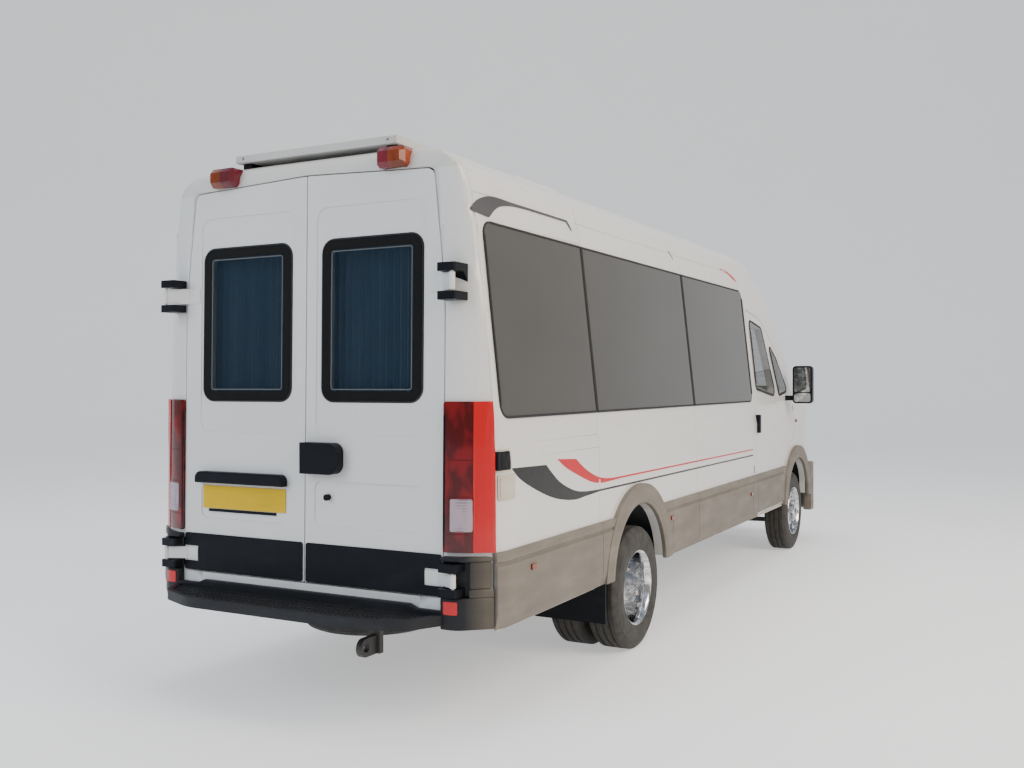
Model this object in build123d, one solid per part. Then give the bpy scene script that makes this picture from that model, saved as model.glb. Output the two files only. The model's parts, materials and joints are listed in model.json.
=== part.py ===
from build123d import *
import os

# A high-roof, long-wheelbase panel van made into a camper, with twin rear wheels.
# Millimetres. While it is built, x runs forward from the rear axle, y to the left and z up from the
# ground. At the end everything is moved along x, so that the origin is under the middle of its length.

# Driving dimensions: the running gear
WHEELBASE = 3950.0
FRONT_OVERHANG = 1020.0
REAR_OVERHANG = 2020.0
TYRE_RADIUS = 347.0
TYRE_WIDTH = 195.0
RIM_RADIUS = 203.0
FRONT_WHEEL_INSET = 118.0
REAR_WHEEL_INSET = 210.0
TWIN_SPACING = 232.0
RUNNING_GAP = 0.3

# Driving dimensions: the body
HALF_WIDTH = 980.0
WALL = 50.0
PANEL_GAP = 6.0
DOOR_GAP = 7.0
COWL_GAP = 10.0
GROOVE = 3.0
PRESSING = 5.0
SILL_Z = 470.0
BELT_Z = 1370.0
ROOF_Z = 2588.0
ROOF_CROWN = 136.0
GLASS_DROP = 220.0
STEP_DEPTH = 268.0
NOSE_SETBACK = 102.0
REAR_LEAN = 34.0
REAR_FRAME_DEPTH = 92.0
CAB_DOOR_LENGTH = 1306.0
CAB_DOOR_SETBACK = 84.0
FLOOR_THICK = 35.0
CLADDING = 22.0
CLADDING_HEIGHT = 330.0
FLARE_WIDTH = 112.0
GLASS = 5.0
LAMP_PROUD = 14.0

# Places that follow from them
AXLE_Z = TYRE_RADIUS
WHEEL_Y = HALF_WIDTH - FRONT_WHEEL_INSET
REAR_Y = HALF_WIDTH - REAR_WHEEL_INSET
FRONT_X = WHEELBASE + FRONT_OVERHANG
STEP_X = -REAR_OVERHANG
MIDDLE_X = (FRONT_X + STEP_X) / 2
NOSE_X = FRONT_X - NOSE_SETBACK
REAR_X = STEP_X + STEP_DEPTH
DOOR_FRONT_X = WHEELBASE - CAB_DOOR_SETBACK
DOOR_REAR_X = DOOR_FRONT_X - CAB_DOOR_LENGTH
GUTTER_Z = ROOF_Z - ROOF_CROWN
GLASS_TOP_Z = GUTTER_Z - GLASS_DROP
FLOOR_Z = SILL_Z + 185.0
CLADDING_LOW_Z = SILL_Z - 14.0
CLADDING_TOP_Z = CLADDING_LOW_Z + CLADDING_HEIGHT
CLAD_OUT = HALF_WIDTH + CLADDING
ARCH_RADIUS = TYRE_RADIUS + 58.0
ARCH_Z = AXLE_Z + 77.0
SIDE_IN = HALF_WIDTH - 380.0
SIDE_OUT = HALF_WIDTH + 120.0
FAR = 9000.0


def above_belt(share):
    """A height between the belt line and the roof, as a share of that distance."""
    return BELT_Z + share * (ROOF_Z - BELT_Z)


parts = {}


# Helpers: outlines are rows of (across, up, corner radius)
def face_of(rows):
    """A closed flat face from rows of (across, up, corner radius)."""
    points = [(across, up) for across, up, _ in rows]
    return make_face(FilletPolyline(*points, radius=[r for _, _, r in rows], close=True))


def side_prism(rows, y_low, y_high):
    """An outline seen from the side, (x, z, radius), from one y to another."""
    plane = Plane(origin=(0, y_high, 0), x_dir=(1, 0, 0), z_dir=(0, -1, 0))
    return extrude(plane * face_of(rows), y_high - y_low)


def rear_prism(rows, x_low, x_high):
    """An outline seen from behind, (y, z, radius), from one x to another."""
    plane = Plane(origin=(x_low, 0, 0), x_dir=(0, 1, 0), z_dir=(1, 0, 0))
    return extrude(plane * face_of(rows), x_high - x_low)


def plan_prism(rows, z_low, z_high):
    """An outline seen from above, (x, y, radius), from one z to another."""
    return extrude(Plane.XY.offset(z_low) * face_of(rows), z_high - z_low)


def block(x_low, x_high, y_low, y_high, z_low, z_high):
    """A plain block between two corners."""
    size = (x_high - x_low, y_high - y_low, z_high - z_low)
    middle = ((x_low + x_high) / 2, (y_low + y_high) / 2, (z_low + z_high) / 2)
    return Pos(*middle) * Box(*size)


def cross_rod(x, z, radius, y_low, y_high):
    """A round bar that lies across the van."""
    return Pos(x, (y_low + y_high) / 2, z) * Rot(90, 0, 0) * Cylinder(radius, y_high - y_low)


def long_rod(y, z, radius, x_low, x_high):
    """A round bar that lies along the van."""
    return Pos((x_low + x_high) / 2, y, z) * Rot(0, 90, 0) * Cylinder(radius, x_high - x_low)


def post(x, y, radius, z_low, z_high):
    """A round upright bar."""
    return Pos(x, y, (z_low + z_high) / 2) * Cylinder(radius, z_high - z_low)


def turned(rows, y, outward):
    """A body of revolution about the line across the van through the origin, from rows of
    (radius, distance outward from y, corner radius)."""
    plane = Plane(origin=(0, y, 0), x_dir=(0, 0, 1), z_dir=(-outward, 0, 0))
    return revolve(plane * face_of(rows), Axis((0, 0, 0), (0, 1, 0)), 360)


def mirrored(shape):
    """The same piece on the other side of the van."""
    return mirror(shape, about=Plane.XZ)


def both_sides(shape):
    """A piece and its mirror image, as solids that share a node."""
    return Compound(children=[*shape.solids(), *mirrored(shape).solids()])


def group(*shapes):
    """Solids that share a node and don't touch."""
    return Compound(children=[solid for shape in shapes for solid in shape.solids()])


def keep(name, shape):
    """Stores a finished node, moved so that the origin is under the middle of the van."""
    solids = [solid for solid in shape.solids() if solid.volume > 1.0]
    parts[name] = Pos(-MIDDLE_X, 0, 0) * (solids[0] if len(solids) == 1 else Compound(children=solids))


# The outer form: three outlines whose prisms meet
SIDE_OUTLINE = [
    (REAR_X - 4, 300, 0),
    (REAR_X + REAR_LEAN, ROOF_Z - 12, 90),
    (DOOR_REAR_X - 70, ROOF_Z + 6, 620),
    (WHEELBASE - 760, above_belt(0.716), 260),
    (WHEELBASE + 80, BELT_Z + 50, 130),
    (FRONT_X - 270, BELT_Z - 242, 200),
    (NOSE_X, 700, 60),
    (NOSE_X, 300, 0),
]
SECTION_OUTLINE = [
    (-HALF_WIDTH, 300, 0),
    (-HALF_WIDTH, BELT_Z - 190, 40),
    (-HALF_WIDTH + 10, BELT_Z - 124, 40),
    (-HALF_WIDTH + 14, BELT_Z, 500),
    (-HALF_WIDTH + 108, GLASS_TOP_Z, 500),
    (-HALF_WIDTH + 156, GUTTER_Z + 14, 80),
    (-HALF_WIDTH + 280, ROOF_Z - 34, 150),
    (0, ROOF_Z, 3000),
]
SECTION_OUTLINE += [(-across, up, r) for across, up, r in reversed(SECTION_OUTLINE[:-1])]
NOSE_OUTLINE = [
    (FRONT_X - 640, HALF_WIDTH, 420),
    (FRONT_X - 270, HALF_WIDTH - 118, 260),
    (NOSE_X, HALF_WIDTH - 460, 520),
]
PLAN_OUTLINE = [(REAR_X - 4, -HALF_WIDTH, 112)]
PLAN_OUTLINE += [(across, -up, r) for across, up, r in NOSE_OUTLINE]
PLAN_OUTLINE += [(across, up, r) for across, up, r in reversed(NOSE_OUTLINE)]
PLAN_OUTLINE += [(REAR_X - 4, HALF_WIDTH, 112)]


def grown(rows, amount):
    """The face of an outline, larger or smaller by an amount all round."""
    face = face_of(rows)
    return offset(face, amount=amount, kind=Kind.INTERSECTION) if amount else face


side_plane = Plane(origin=(0, SIDE_OUT, 0), x_dir=(1, 0, 0), z_dir=(0, -1, 0))
end_plane = Plane(origin=(STEP_X, 0, 0), x_dir=(0, 1, 0), z_dir=(1, 0, 0))


def body_form(amount):
    """The van's whole outer form, larger or smaller by an amount."""
    side = extrude(side_plane * grown(SIDE_OUTLINE, amount), 2 * SIDE_OUT)
    end = extrude(end_plane * grown(SECTION_OUTLINE, amount), FRONT_X - STEP_X)
    plan = extrude(Plane.XY * grown(PLAN_OUTLINE, amount), ROOF_Z + 300)
    return side & end & plan


outer = body_form(0)
inner = body_form(-WALL)
underneath = block(-FAR, FAR, -FAR, FAR, -FAR, SILL_Z)
shell = outer - inner - underneath
pane_skin = body_form(RUNNING_GAP + GLASS) - body_form(RUNNING_GAP)
lamp_skin = body_form(LAMP_PROUD) - body_form(RUNNING_GAP)
groove_skin = outer - body_form(-GROOVE)
pressing_skin = outer - body_form(-PRESSING)

# Where the panels part
PORTAL_FRONT_X = REAR_X + REAR_FRAME_DEPTH
CAB_X = DOOR_REAR_X - 36
SLIDER_LOW_X = 1058.0
SLIDER_HIGH_X = DOOR_REAR_X - 160
SLIDER_LOW_Z = SILL_Z + 22
SLIDER_TOP_Z = GUTTER_Z - 118
PANEL_SEAM_X = -556.0
RIGHT_SEAM_X = SLIDER_LOW_X + 2

# Side windows: the start and end of each pane with the corner radius there, for both sides
PANE_LOW_Z = BELT_Z - 5
PANE_HIGH_Z = GLASS_TOP_Z - 5
PANE_LAP = 28.0
PANE_RADIUS = 65.0
PANE_JOINT = 8.0
RIGHT_PANES = [
    (REAR_X + 146, PANEL_SEAM_X - 12, PANE_RADIUS, 3),
    (PANEL_SEAM_X - 12 + PANE_JOINT, SLIDER_LOW_X - 11, 3, 3),
    (SLIDER_LOW_X - 11 + PANE_JOINT, DOOR_REAR_X - 68, 3, PANE_RADIUS),
]
LEFT_PANES = [
    RIGHT_PANES[0],
    (PANEL_SEAM_X - 12 + PANE_JOINT, SLIDER_LOW_X - 34, 3, PANE_RADIUS),
    (SLIDER_LOW_X + 24, SLIDER_HIGH_X - 22, PANE_RADIUS, PANE_RADIUS),
]
UPPER_LINE_Z = GUTTER_Z - 105
UPPER_LINES = [
    (REAR_X + 95, PANEL_SEAM_X - 130),
    (PANEL_SEAM_X - 22, SLIDER_LOW_X - 248),
    (SLIDER_LOW_X - 70, DOOR_REAR_X - 304),
]


def upright_rows(low, high, bottom, top, radius):
    """The four corners of an upright opening with one corner radius."""
    return [(low, bottom, radius), (high, bottom, radius), (high, top, radius), (low, top, radius)]


def pane_rows(pane, inset):
    """A side window's outline, made smaller by an inset."""
    low, high, low_radius, high_radius = pane
    first, second = [max(radius - inset, 3) for radius in (low_radius, high_radius)]
    bottom, top = PANE_LOW_Z + inset, PANE_HIGH_Z - inset
    return [
        (low + inset, bottom, first),
        (high - inset, bottom, second),
        (high - inset, top, second),
        (low + inset, top, first),
    ]


# Front door: one outline, kept clear of the wheel arch, with its toe as the corner over the arch
DOOR_LOW_Z = SILL_Z + 16


def door_outline(toe_radius):
    """The cab door's outline with a given radius at its toe."""
    return [
        (DOOR_REAR_X, DOOR_LOW_Z, 40),
        (WHEELBASE - 555, DOOR_LOW_Z, 40),
        (WHEELBASE - 520, DOOR_LOW_Z + 214, 160),
        (WHEELBASE - 310, BELT_Z - 404, 160),
        (DOOR_FRONT_X, BELT_Z - 340, toe_radius),
        (DOOR_FRONT_X, BELT_Z - 30, 60),
        (DOOR_FRONT_X - 60, BELT_Z + 54, 60),
        (WHEELBASE - 550, above_belt(0.355), 220),
        (WHEELBASE - 960, above_belt(0.542), 260),
        (DOOR_REAR_X, above_belt(0.593), 50),
    ]


DOOR_PANE = [
    (DOOR_REAR_X + 90, BELT_Z + 92, 40),
    (WHEELBASE - 680, BELT_Z + 22, 60),
    (WHEELBASE - 940, above_belt(0.486), 50),
    (DOOR_REAR_X + 90, above_belt(0.527), 50),
]
QUARTER_PANE = [
    (WHEELBASE - 578, BELT_Z + 32, 30),
    (WHEELBASE - 260, BELT_Z + 66, 30),
    (WHEELBASE - 550, above_belt(0.287), 60),
    (WHEELBASE - 772, above_belt(0.394), 30),
]

# Rear doors: half of the pair, seen from behind
REAR_DOOR_LOW_Z = SILL_Z + 122
REAR_DOOR_OUT_Y = HALF_WIDTH - 223
REAR_DOOR_HALF = [
    (PANEL_GAP / 2, REAR_DOOR_LOW_Z, 6),
    (REAR_DOOR_OUT_Y, REAR_DOOR_LOW_Z, 30),
    (REAR_DOOR_OUT_Y, GUTTER_Z - 592, 400),
    (REAR_DOOR_OUT_Y - 15, GUTTER_Z - 392, 200),
    (REAR_DOOR_OUT_Y - 59, GUTTER_Z + 3, 40),
    (PANEL_GAP / 2, GUTTER_Z + 32, 6),
]
REAR_PANE = (95.0, REAR_DOOR_OUT_Y - 117, BELT_Z + 66, GLASS_TOP_Z - 57)
REAR_PIN_X = REAR_X - 43
REAR_PIN_Y = HALF_WIDTH - 145
REAR_HINGES = [(SILL_Z + 170, SILL_Z + 240), (GUTTER_Z - 544, GUTTER_Z - 458)]
LUG = 36.0


def whole_rear_opening(extra):
    """The outline of both rear doors together, larger by a gap."""
    half = [(across + extra, up, r) for across, up, r in REAR_DOOR_HALF[1:-1]]
    half[0] = (half[0][0], half[0][1] - extra, half[0][2])
    half[-1] = (half[-1][0], half[-1][1] + extra, half[-1][2])
    middle = [(0, REAR_DOOR_HALF[-1][1] + extra, 900)]
    return half + middle + [(-across, up, r) for across, up, r in reversed(half)]


# Wheel arches, as drums that cut what stands in them
ARCHES = [("rear", 0.0), ("front", WHEELBASE)]
LINER_WALL_Y = REAR_Y - (TWIN_SPACING + TYRE_WIDTH) / 2 - 24.5


def arch_drum(x, radius, y_low, y_high):
    """A drum about a wheel arch's centre."""
    return cross_rod(x, ARCH_Z, radius, y_low, y_high)


arch_cuts = [arch_drum(x, ARCH_RADIUS, -SIDE_OUT, SIDE_OUT) for _, x in ARCHES]

# Rear portal: corner posts, header and the white strip below the doors
portal = shell & block(REAR_X - 100, PORTAL_FRONT_X, -FAR, FAR, SILL_Z, FAR)
portal = portal - rear_prism(whole_rear_opening(PANEL_GAP), REAR_X - 60, PORTAL_FRONT_X + 60)
keep("rear_portal", portal)

# Side panels, with their panes' openings, and the sliding door on the left
side_zone = block(PORTAL_FRONT_X, CAB_X, -FAR, -SIDE_IN, SILL_Z, GUTTER_Z)
side_blank = (shell & side_zone) - arch_cuts[0]


def seam_cut(x):
    """The groove of an upright joint between two wall panels."""
    return groove_skin & block(x - GROOVE / 2, x + GROOVE / 2, -FAR, FAR, SILL_Z - 10, GUTTER_Z + 10)


joint_cut = seam_cut(PORTAL_FRONT_X + GROOVE / 2)
line_z = (UPPER_LINE_Z, UPPER_LINE_Z + 10)
line_cuts = [groove_skin & block(low, high, -FAR, FAR, *line_z) for low, high in UPPER_LINES]
right_side = side_blank - joint_cut - seam_cut(PANEL_SEAM_X) - seam_cut(RIGHT_SEAM_X)
left_side = mirrored(side_blank) - joint_cut - seam_cut(PANEL_SEAM_X)
for line_cut in line_cuts:
    right_side = right_side - line_cut
    left_side = left_side - line_cut
for pane in RIGHT_PANES:
    right_side = right_side - side_prism(pane_rows(pane, PANE_LAP), -SIDE_OUT, -SIDE_IN)
keep("side_panel_right", right_side)

for pane in LEFT_PANES:
    left_side = left_side - side_prism(pane_rows(pane, PANE_LAP), SIDE_IN, SIDE_OUT)
slider_rows = upright_rows(SLIDER_LOW_X, SLIDER_HIGH_X, SLIDER_LOW_Z, SLIDER_TOP_Z, 60)
keep("sliding_door", left_side & side_prism(slider_rows, SIDE_IN, SIDE_OUT))
gap = PANEL_GAP
slider_hole_rows = upright_rows(
    SLIDER_LOW_X - gap, SLIDER_HIGH_X + gap, SLIDER_LOW_Z - gap, SLIDER_TOP_Z + gap, 66
)
keep("side_panel_left", left_side - side_prism(slider_hole_rows, SIDE_IN, SIDE_OUT))

right_glass = [pane_skin & side_prism(pane_rows(pane, 0), -SIDE_OUT, -SIDE_IN) for pane in RIGHT_PANES]
left_glass = [pane_skin & side_prism(pane_rows(pane, 0), SIDE_IN, SIDE_OUT) for pane in LEFT_PANES]
keep("side_glass", group(*right_glass, *left_glass))

# Roof, with the hole of the roof window
VENT_LENGTH = 580.0
VENT_X = (REAR_X + 1146, REAR_X + 1146 + VENT_LENGTH)
VENT_Y = (-510.0, 130.0)
VENT_FRAME = 42.0
VENT_FOOT_Z = ROOF_Z - 30
vent_hole = block(
    VENT_X[0] + VENT_FRAME,
    VENT_X[1] - VENT_FRAME,
    VENT_Y[0] + VENT_FRAME,
    VENT_Y[1] - VENT_FRAME,
    GUTTER_Z - 60,
    ROOF_Z + 200,
)
roof = (shell & block(PORTAL_FRONT_X, CAB_X, -FAR, FAR, GUTTER_Z, FAR)) - vent_hole
keep("roof_panel", roof)

# Roof window: a frame bedded on the roof and a lid hinged at its front, so that its back lifts
LID_Z = ROOF_Z + 30
VENT_PIN = (VENT_X[1] + 6, LID_Z + 7)
VENT_PIN_RADIUS = 3.0
VENT_HINGES = [VENT_Y[0] + 110, VENT_Y[1] - 110]
vent_frame = block(*VENT_X, *VENT_Y, VENT_FOOT_Z, LID_Z - 6)
lid = block(VENT_X[0] + 8, VENT_X[1] - 20, VENT_Y[0] + 8, VENT_Y[1] - 8, LID_Z, LID_Z + 28)
lid = fillet(lid.edges().group_by(Axis.Z)[-1], 18)
for y in VENT_HINGES:
    lid = lid + block(VENT_X[1] - 24, VENT_PIN[0], y - 18, y + 18, LID_Z + 1, LID_Z + 13)
    lid = lid + cross_rod(*VENT_PIN, 6, y - 18, y + 18)
    lid = lid + cross_rod(*VENT_PIN, VENT_PIN_RADIUS, y - 34, y + 34)
    for side in (-1, 1):
        low, high = sorted((y + side * 24, y + side * 34))
        ear = block(VENT_X[1] - 6, VENT_PIN[0] + 8, low, high, VENT_FOOT_Z, VENT_PIN[1] + 8)
        vent_frame = vent_frame + ear
    vent_frame = vent_frame - cross_rod(*VENT_PIN, VENT_PIN_RADIUS + RUNNING_GAP, y - 50, y + 50)
keep("roof_vent_frame", vent_frame - outer - vent_hole)
keep("roof_vent_lid", lid)

# Solar panel on four feet
SOLAR_LENGTH = 820.0
SOLAR_X = (REAR_X + 184, REAR_X + 184 + SOLAR_LENGTH)
SOLAR_Y = (-470.0, 418.0)
SOLAR_Z = (ROOF_Z + 8, ROOF_Z + 43)
solar = block(*SOLAR_X, *SOLAR_Y, *SOLAR_Z)
solar = solar - block(
    SOLAR_X[0] + 30, SOLAR_X[1] - 30, SOLAR_Y[0] + 30, SOLAR_Y[1] - 30, SOLAR_Z[0] - 5, SOLAR_Z[0] + 27
)
feet = [
    block(x - 30, x + 30, y - 20, y + 20, ROOF_Z - 60, SOLAR_Z[0] + 1)
    for x in (SOLAR_X[0] + 110, SOLAR_X[1] - 110)
    for y in (SOLAR_Y[0] + 25, SOLAR_Y[1] - 25)
]
for foot in feet:
    solar = solar + (foot - outer)
keep("solar_panel", solar)

# Cab: what is left ahead of the side panels once the doors, panes, bonnet and front are cut out
cab_zone = shell & block(CAB_X, FAR, -FAR, FAR, SILL_Z, FAR)
hole_face = offset(face_of(door_outline(40)), amount=DOOR_GAP, kind=Kind.INTERSECTION)
door_hole = extrude(side_plane * hole_face, 2 * SIDE_OUT)
door_zone = side_prism(door_outline(64), -SIDE_OUT, -SIDE_IN)
pane_zone = side_prism(DOOR_PANE, -SIDE_OUT, -SIDE_IN) + side_prism(QUARTER_PANE, -SIDE_OUT, -SIDE_IN)


def shrunk(rows, inset):
    """A pane's outline, made smaller all round, through the whole van."""
    face = offset(face_of(rows), amount=-inset, kind=Kind.INTERSECTION)
    return extrude(side_plane * face, 2 * SIDE_OUT)


# Its two hinges: a pin in a pocket of the door's front edge, in an eye that the wing carries
DOOR_PIN = (DOOR_FRONT_X - 10, -HALF_WIDTH + 6)
DOOR_PIN_RADIUS = 4.5
DOOR_EYE_RADIUS = 9.0
POCKET = DOOR_EYE_RADIUS + 5
DOOR_HINGES = [(BELT_Z - 278, BELT_Z - 234), (BELT_Z - 108, BELT_Z - 64)]
door_eyes = []
right_door = cab_zone & door_zone
right_door = right_door - shrunk(DOOR_PANE, 22) - shrunk(QUARTER_PANE, 16)
for low, high in DOOR_HINGES:
    right_door = right_door - block(DOOR_PIN[0] - POCKET, FAR, -FAR, DOOR_PIN[1] + POCKET, low, high)
    right_door = right_door + post(*DOOR_PIN, DOOR_PIN_RADIUS, low - 2, high + 2)
    eye_z = (low + 8, high - 8)
    bar_y = (DOOR_PIN[1] - 6, DOOR_PIN[1] + 6)
    eye = post(*DOOR_PIN, DOOR_EYE_RADIUS, *eye_z)
    eye = eye + block(DOOR_PIN[0], DOOR_FRONT_X + DOOR_GAP + 4, *bar_y, *eye_z)
    door_eyes.append(eye - post(*DOOR_PIN, DOOR_PIN_RADIUS + RUNNING_GAP, low, high))
keep("front_door_right", right_door)
keep("front_door_left", mirrored(right_door))
door_glass = pane_skin & pane_zone
keep("front_door_glass_right", door_glass)
keep("front_door_glass_left", mirrored(door_glass))

NOSE_TOP_Z = BELT_Z + 54
WING_Y = HALF_WIDTH - 190
BONNET_REAR_X = WHEELBASE + 146
BONNET_SKIN = 24.0
FRONT_PANEL_X = FRONT_X - 570
LAMP_LOW_Z = SILL_Z + 302
LAMP_HIGH_Z = BELT_Z - 306
LAMP_IN_Y = HALF_WIDTH - 528
SCREEN_REAR_X = WHEELBASE - 890
SCREEN_FRONT_X = WHEELBASE + 350
WINDSCREEN = [
    (-HALF_WIDTH + 96, BELT_Z + 80, 60),
    (HALF_WIDTH - 96, BELT_Z + 80, 60),
    (HALF_WIDTH - 180, above_belt(0.67), 90),
    (-HALF_WIDTH + 180, above_belt(0.67), 90),
]
screen_face = offset(face_of(WINDSCREEN), amount=-32, kind=Kind.INTERSECTION)
screen_plane = Plane(origin=(SCREEN_REAR_X, 0, 0), x_dir=(0, 1, 0), z_dir=(1, 0, 0))
screen_hole = extrude(screen_plane * screen_face, SCREEN_FRONT_X - SCREEN_REAR_X)
cab = cab_zone - door_hole - screen_hole
nose_zone = block(WHEELBASE - 650, FAR, -FAR, FAR, -FAR, NOSE_TOP_Z)
nose = cab & nose_zone
cab = cab - nose_zone
bottom_posts = nose & block(CAB_X, WHEELBASE - 558, -FAR, FAR, -FAR, FAR)
keep("cab_frame", cab + bottom_posts)
keep("windscreen", pane_skin & rear_prism(WINDSCREEN, SCREEN_REAR_X, SCREEN_FRONT_X))

# Nose: wings, lamps, grille, and the bonnet on two pins in the wings
BONNET_PIN = (BONNET_REAR_X + 14, BELT_Z + 9)
BONNET_PIN_RADIUS = 3.5
nose = nose - bottom_posts - arch_cuts[1]
bonnet_zone = plan_prism(
    [(BONNET_REAR_X, -WING_Y, 60), (FAR, -WING_Y, 0), (FAR, WING_Y, 0), (BONNET_REAR_X, WING_Y, 60)],
    LAMP_HIGH_Z + PANEL_GAP,
    NOSE_TOP_Z,
)
bonnet_hole = plan_prism(
    [
        (BONNET_REAR_X - COWL_GAP, -WING_Y - PANEL_GAP, 66),
        (FAR, -WING_Y - PANEL_GAP, 0),
        (FAR, WING_Y + PANEL_GAP, 0),
        (BONNET_REAR_X - COWL_GAP, WING_Y + PANEL_GAP, 66),
    ],
    LAMP_HIGH_Z,
    NOSE_TOP_Z + 1,
)
bonnet = (nose & bonnet_zone) - body_form(-BONNET_SKIN)
nose = nose - bonnet_hole
for side in (-1, 1):
    low, high = sorted((side * (WING_Y - 60), side * (WING_Y + 14)))
    bonnet = bonnet + cross_rod(*BONNET_PIN, BONNET_PIN_RADIUS, low, high)
    low, high = sorted((side * (WING_Y - 60), side * (WING_Y + 16)))
    nose = nose - cross_rod(*BONNET_PIN, BONNET_PIN_RADIUS + RUNNING_GAP, low, high)
keep("bonnet", bonnet)
lamp_zone = block(FRONT_PANEL_X, FAR, -FAR, FAR, LAMP_LOW_Z, LAMP_HIGH_Z)
front_panel = nose & lamp_zone
wings = nose - lamp_zone
for eye in door_eyes:
    wings = wings + eye + mirrored(eye)
middle_zone = block(-FAR, FAR, -LAMP_IN_Y, LAMP_IN_Y, -FAR, FAR)
keep("headlamps", front_panel - middle_zone)
grille = front_panel & middle_zone
SLAT_PITCH = 46.0
SLOT_HEIGHT = 28.0
slots = int((LAMP_HIGH_Z - LAMP_LOW_Z - 30) // SLAT_PITCH)
for slot in range(slots):
    slot_z = LAMP_LOW_Z + 26 + slot * SLAT_PITCH
    for side in (-1, 1):
        low, high = sorted((side * 14, side * (LAMP_IN_Y - 26)))
        grille = grille - block(FRONT_X - 470, FAR, low, high, slot_z, slot_z + SLOT_HEIGHT)
for side in (-1, 1):
    buffer_y = (side * 300 - 15, side * 300 + 15)
    buffer_z = (LAMP_HIGH_Z - 20, LAMP_HIGH_Z + PANEL_GAP - RUNNING_GAP)
    grille = grille + block(FRONT_X - 282, FRONT_X - 254, *buffer_y, *buffer_z)
keep("grille", grille)
keep("front_wings", wings)

# Rear doors: the wall's own thickness, with the hinge arms fused on
rear_zone = shell & block(REAR_X - 100, REAR_X + REAR_LEAN + WALL + 16, -FAR, FAR, SILL_Z, FAR)
pin_at = (REAR_PIN_X, REAR_PIN_Y)


def strap(low, high):
    """A hinge arm: a plate on the door, a bar out to the pin and the knuckle with its pin."""
    face_x = REAR_X + REAR_LEAN * (low - 300) / (ROOF_Z - 312)
    plate = block(face_x - 8, face_x + 6, REAR_PIN_Y - 167, REAR_PIN_Y - 85, low + 6, high - 6)
    bar_rows = [
        (face_x - 9, REAR_PIN_Y - 100, 0),
        (REAR_PIN_X - 4, REAR_PIN_Y - 9, 0),
        (REAR_PIN_X + 6, REAR_PIN_Y + 7, 0),
        (face_x - 1, REAR_PIN_Y - 85, 0),
    ]
    bar = plan_prism(bar_rows, low + 6, high - 6)
    knuckle = post(*pin_at, 13, low + 6, high - 6) + post(*pin_at, 7, low - 24, high + 24)
    return plate + bar + knuckle


DOOR_ZONE_X = (REAR_X - 60, PORTAL_FRONT_X + 60)
WINDOW_PRESSING = upright_rows(58, REAR_DOOR_OUT_Y - 95, BELT_Z - 91, GUTTER_Z - 122, 60)
PLATE_PRESSING = upright_rows(100, REAR_DOOR_OUT_Y - 107, SILL_Z + 384, SILL_Z + 556, 40)
LOCK_PRESSING = upright_rows(55, REAR_DOOR_OUT_Y - 92, SILL_Z + 389, SILL_Z + 594, 40)
pane_low_y, pane_high_y, pane_low_z, pane_high_z = REAR_PANE
pane_hole = upright_rows(pane_low_y + 30, pane_high_y - 30, pane_low_z + 30, pane_high_z - 30, 40)
pane = upright_rows(pane_low_y, pane_high_y, pane_low_z, pane_high_z, 60)


def rear_door(lower_pressing):
    """A left-hand rear door with its window, pressings and hinge arms."""
    door = rear_zone & rear_prism(REAR_DOOR_HALF, *DOOR_ZONE_X)
    door = door - rear_prism(pane_hole, *DOOR_ZONE_X)
    for rows in (WINDOW_PRESSING, lower_pressing):
        door = door - (pressing_skin & rear_prism(rows, REAR_X - 60, REAR_X + REAR_LEAN + 20))
    for low, high in REAR_HINGES:
        door = door + strap(low, high)
    return door


keep("rear_door_left", rear_door(PLATE_PRESSING))
keep("rear_door_right", mirrored(rear_door(LOCK_PRESSING)))
sunk = Pos(PRESSING, 0, 0)
rear_pane = sunk * (pane_skin & rear_prism(pane, REAR_X - 60, REAR_X + 60))
keep("rear_door_glass_left", rear_pane)
keep("rear_door_glass_right", mirrored(rear_pane))


def lugs(low, high):
    """A hinge's fixed half: a back plate with a long lug above and below the knuckle."""
    face_x = REAR_X + REAR_LEAN * (low - 300) / (ROOF_Z - 312)
    made = block(face_x - 8, face_x + 2, REAR_PIN_Y - 29, REAR_PIN_Y + 45, low - LUG, high + LUG)
    for z_low, z_high in ((low - LUG, low), (high, high + LUG)):
        ear = block(REAR_PIN_X - 16, face_x, REAR_PIN_Y - 70, REAR_PIN_Y + 45, z_low, z_high)
        ear = fillet(ear.edges().filter_by(Axis.Z).group_by(Axis.X)[0], 12)
        made = made + (ear - post(*pin_at, 7 + RUNNING_GAP, z_low - 1, z_high + 1))
    return made - outer


keep("hinge_brackets", group(*[both_sides(lugs(low, high)) for low, high in REAR_HINGES]))

# Black lower skins, lamp housing, plate, handle and lock of the rear doors
FITTING_X = (REAR_X - 60, REAR_X + 60)
door_skin = (body_form(7) - body_form(RUNNING_GAP)) & block(*FITTING_X, -FAR, FAR, 0, FAR)
lower_rows = upright_rows(10, REAR_DOOR_OUT_Y - 5, REAR_DOOR_LOW_Z + 2, CLADDING_TOP_Z - 10, 12)
lower_skin = door_skin & rear_prism(lower_rows, *FITTING_X)
low, high = REAR_HINGES[0]
strap_gap = block(REAR_X - 90, REAR_X + 60, REAR_PIN_Y - 171, REAR_PIN_Y, low - 2, high + 2)
lower_skin = lower_skin - strap_gap
HOUSING_Z = (SILL_Z + 560, SILL_Z + 616)
housing = block(REAR_X - 34, REAR_X + 60, 106, REAR_DOOR_OUT_Y - 97, *HOUSING_Z)
housing = fillet(housing.edges().filter_by(Axis.X).group_by(Axis.Z)[-1], 34)
housing = fillet(housing.edges().group_by(Axis.X)[0], 8) - body_form(RUNNING_GAP)
keep("rear_door_fittings_left", group(lower_skin, housing))
HANDLE_Z = (SILL_Z + 630, SILL_Z + 774)
handle = block(REAR_X - 44, REAR_X + 60, -221, -8, *HANDLE_Z)
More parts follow.
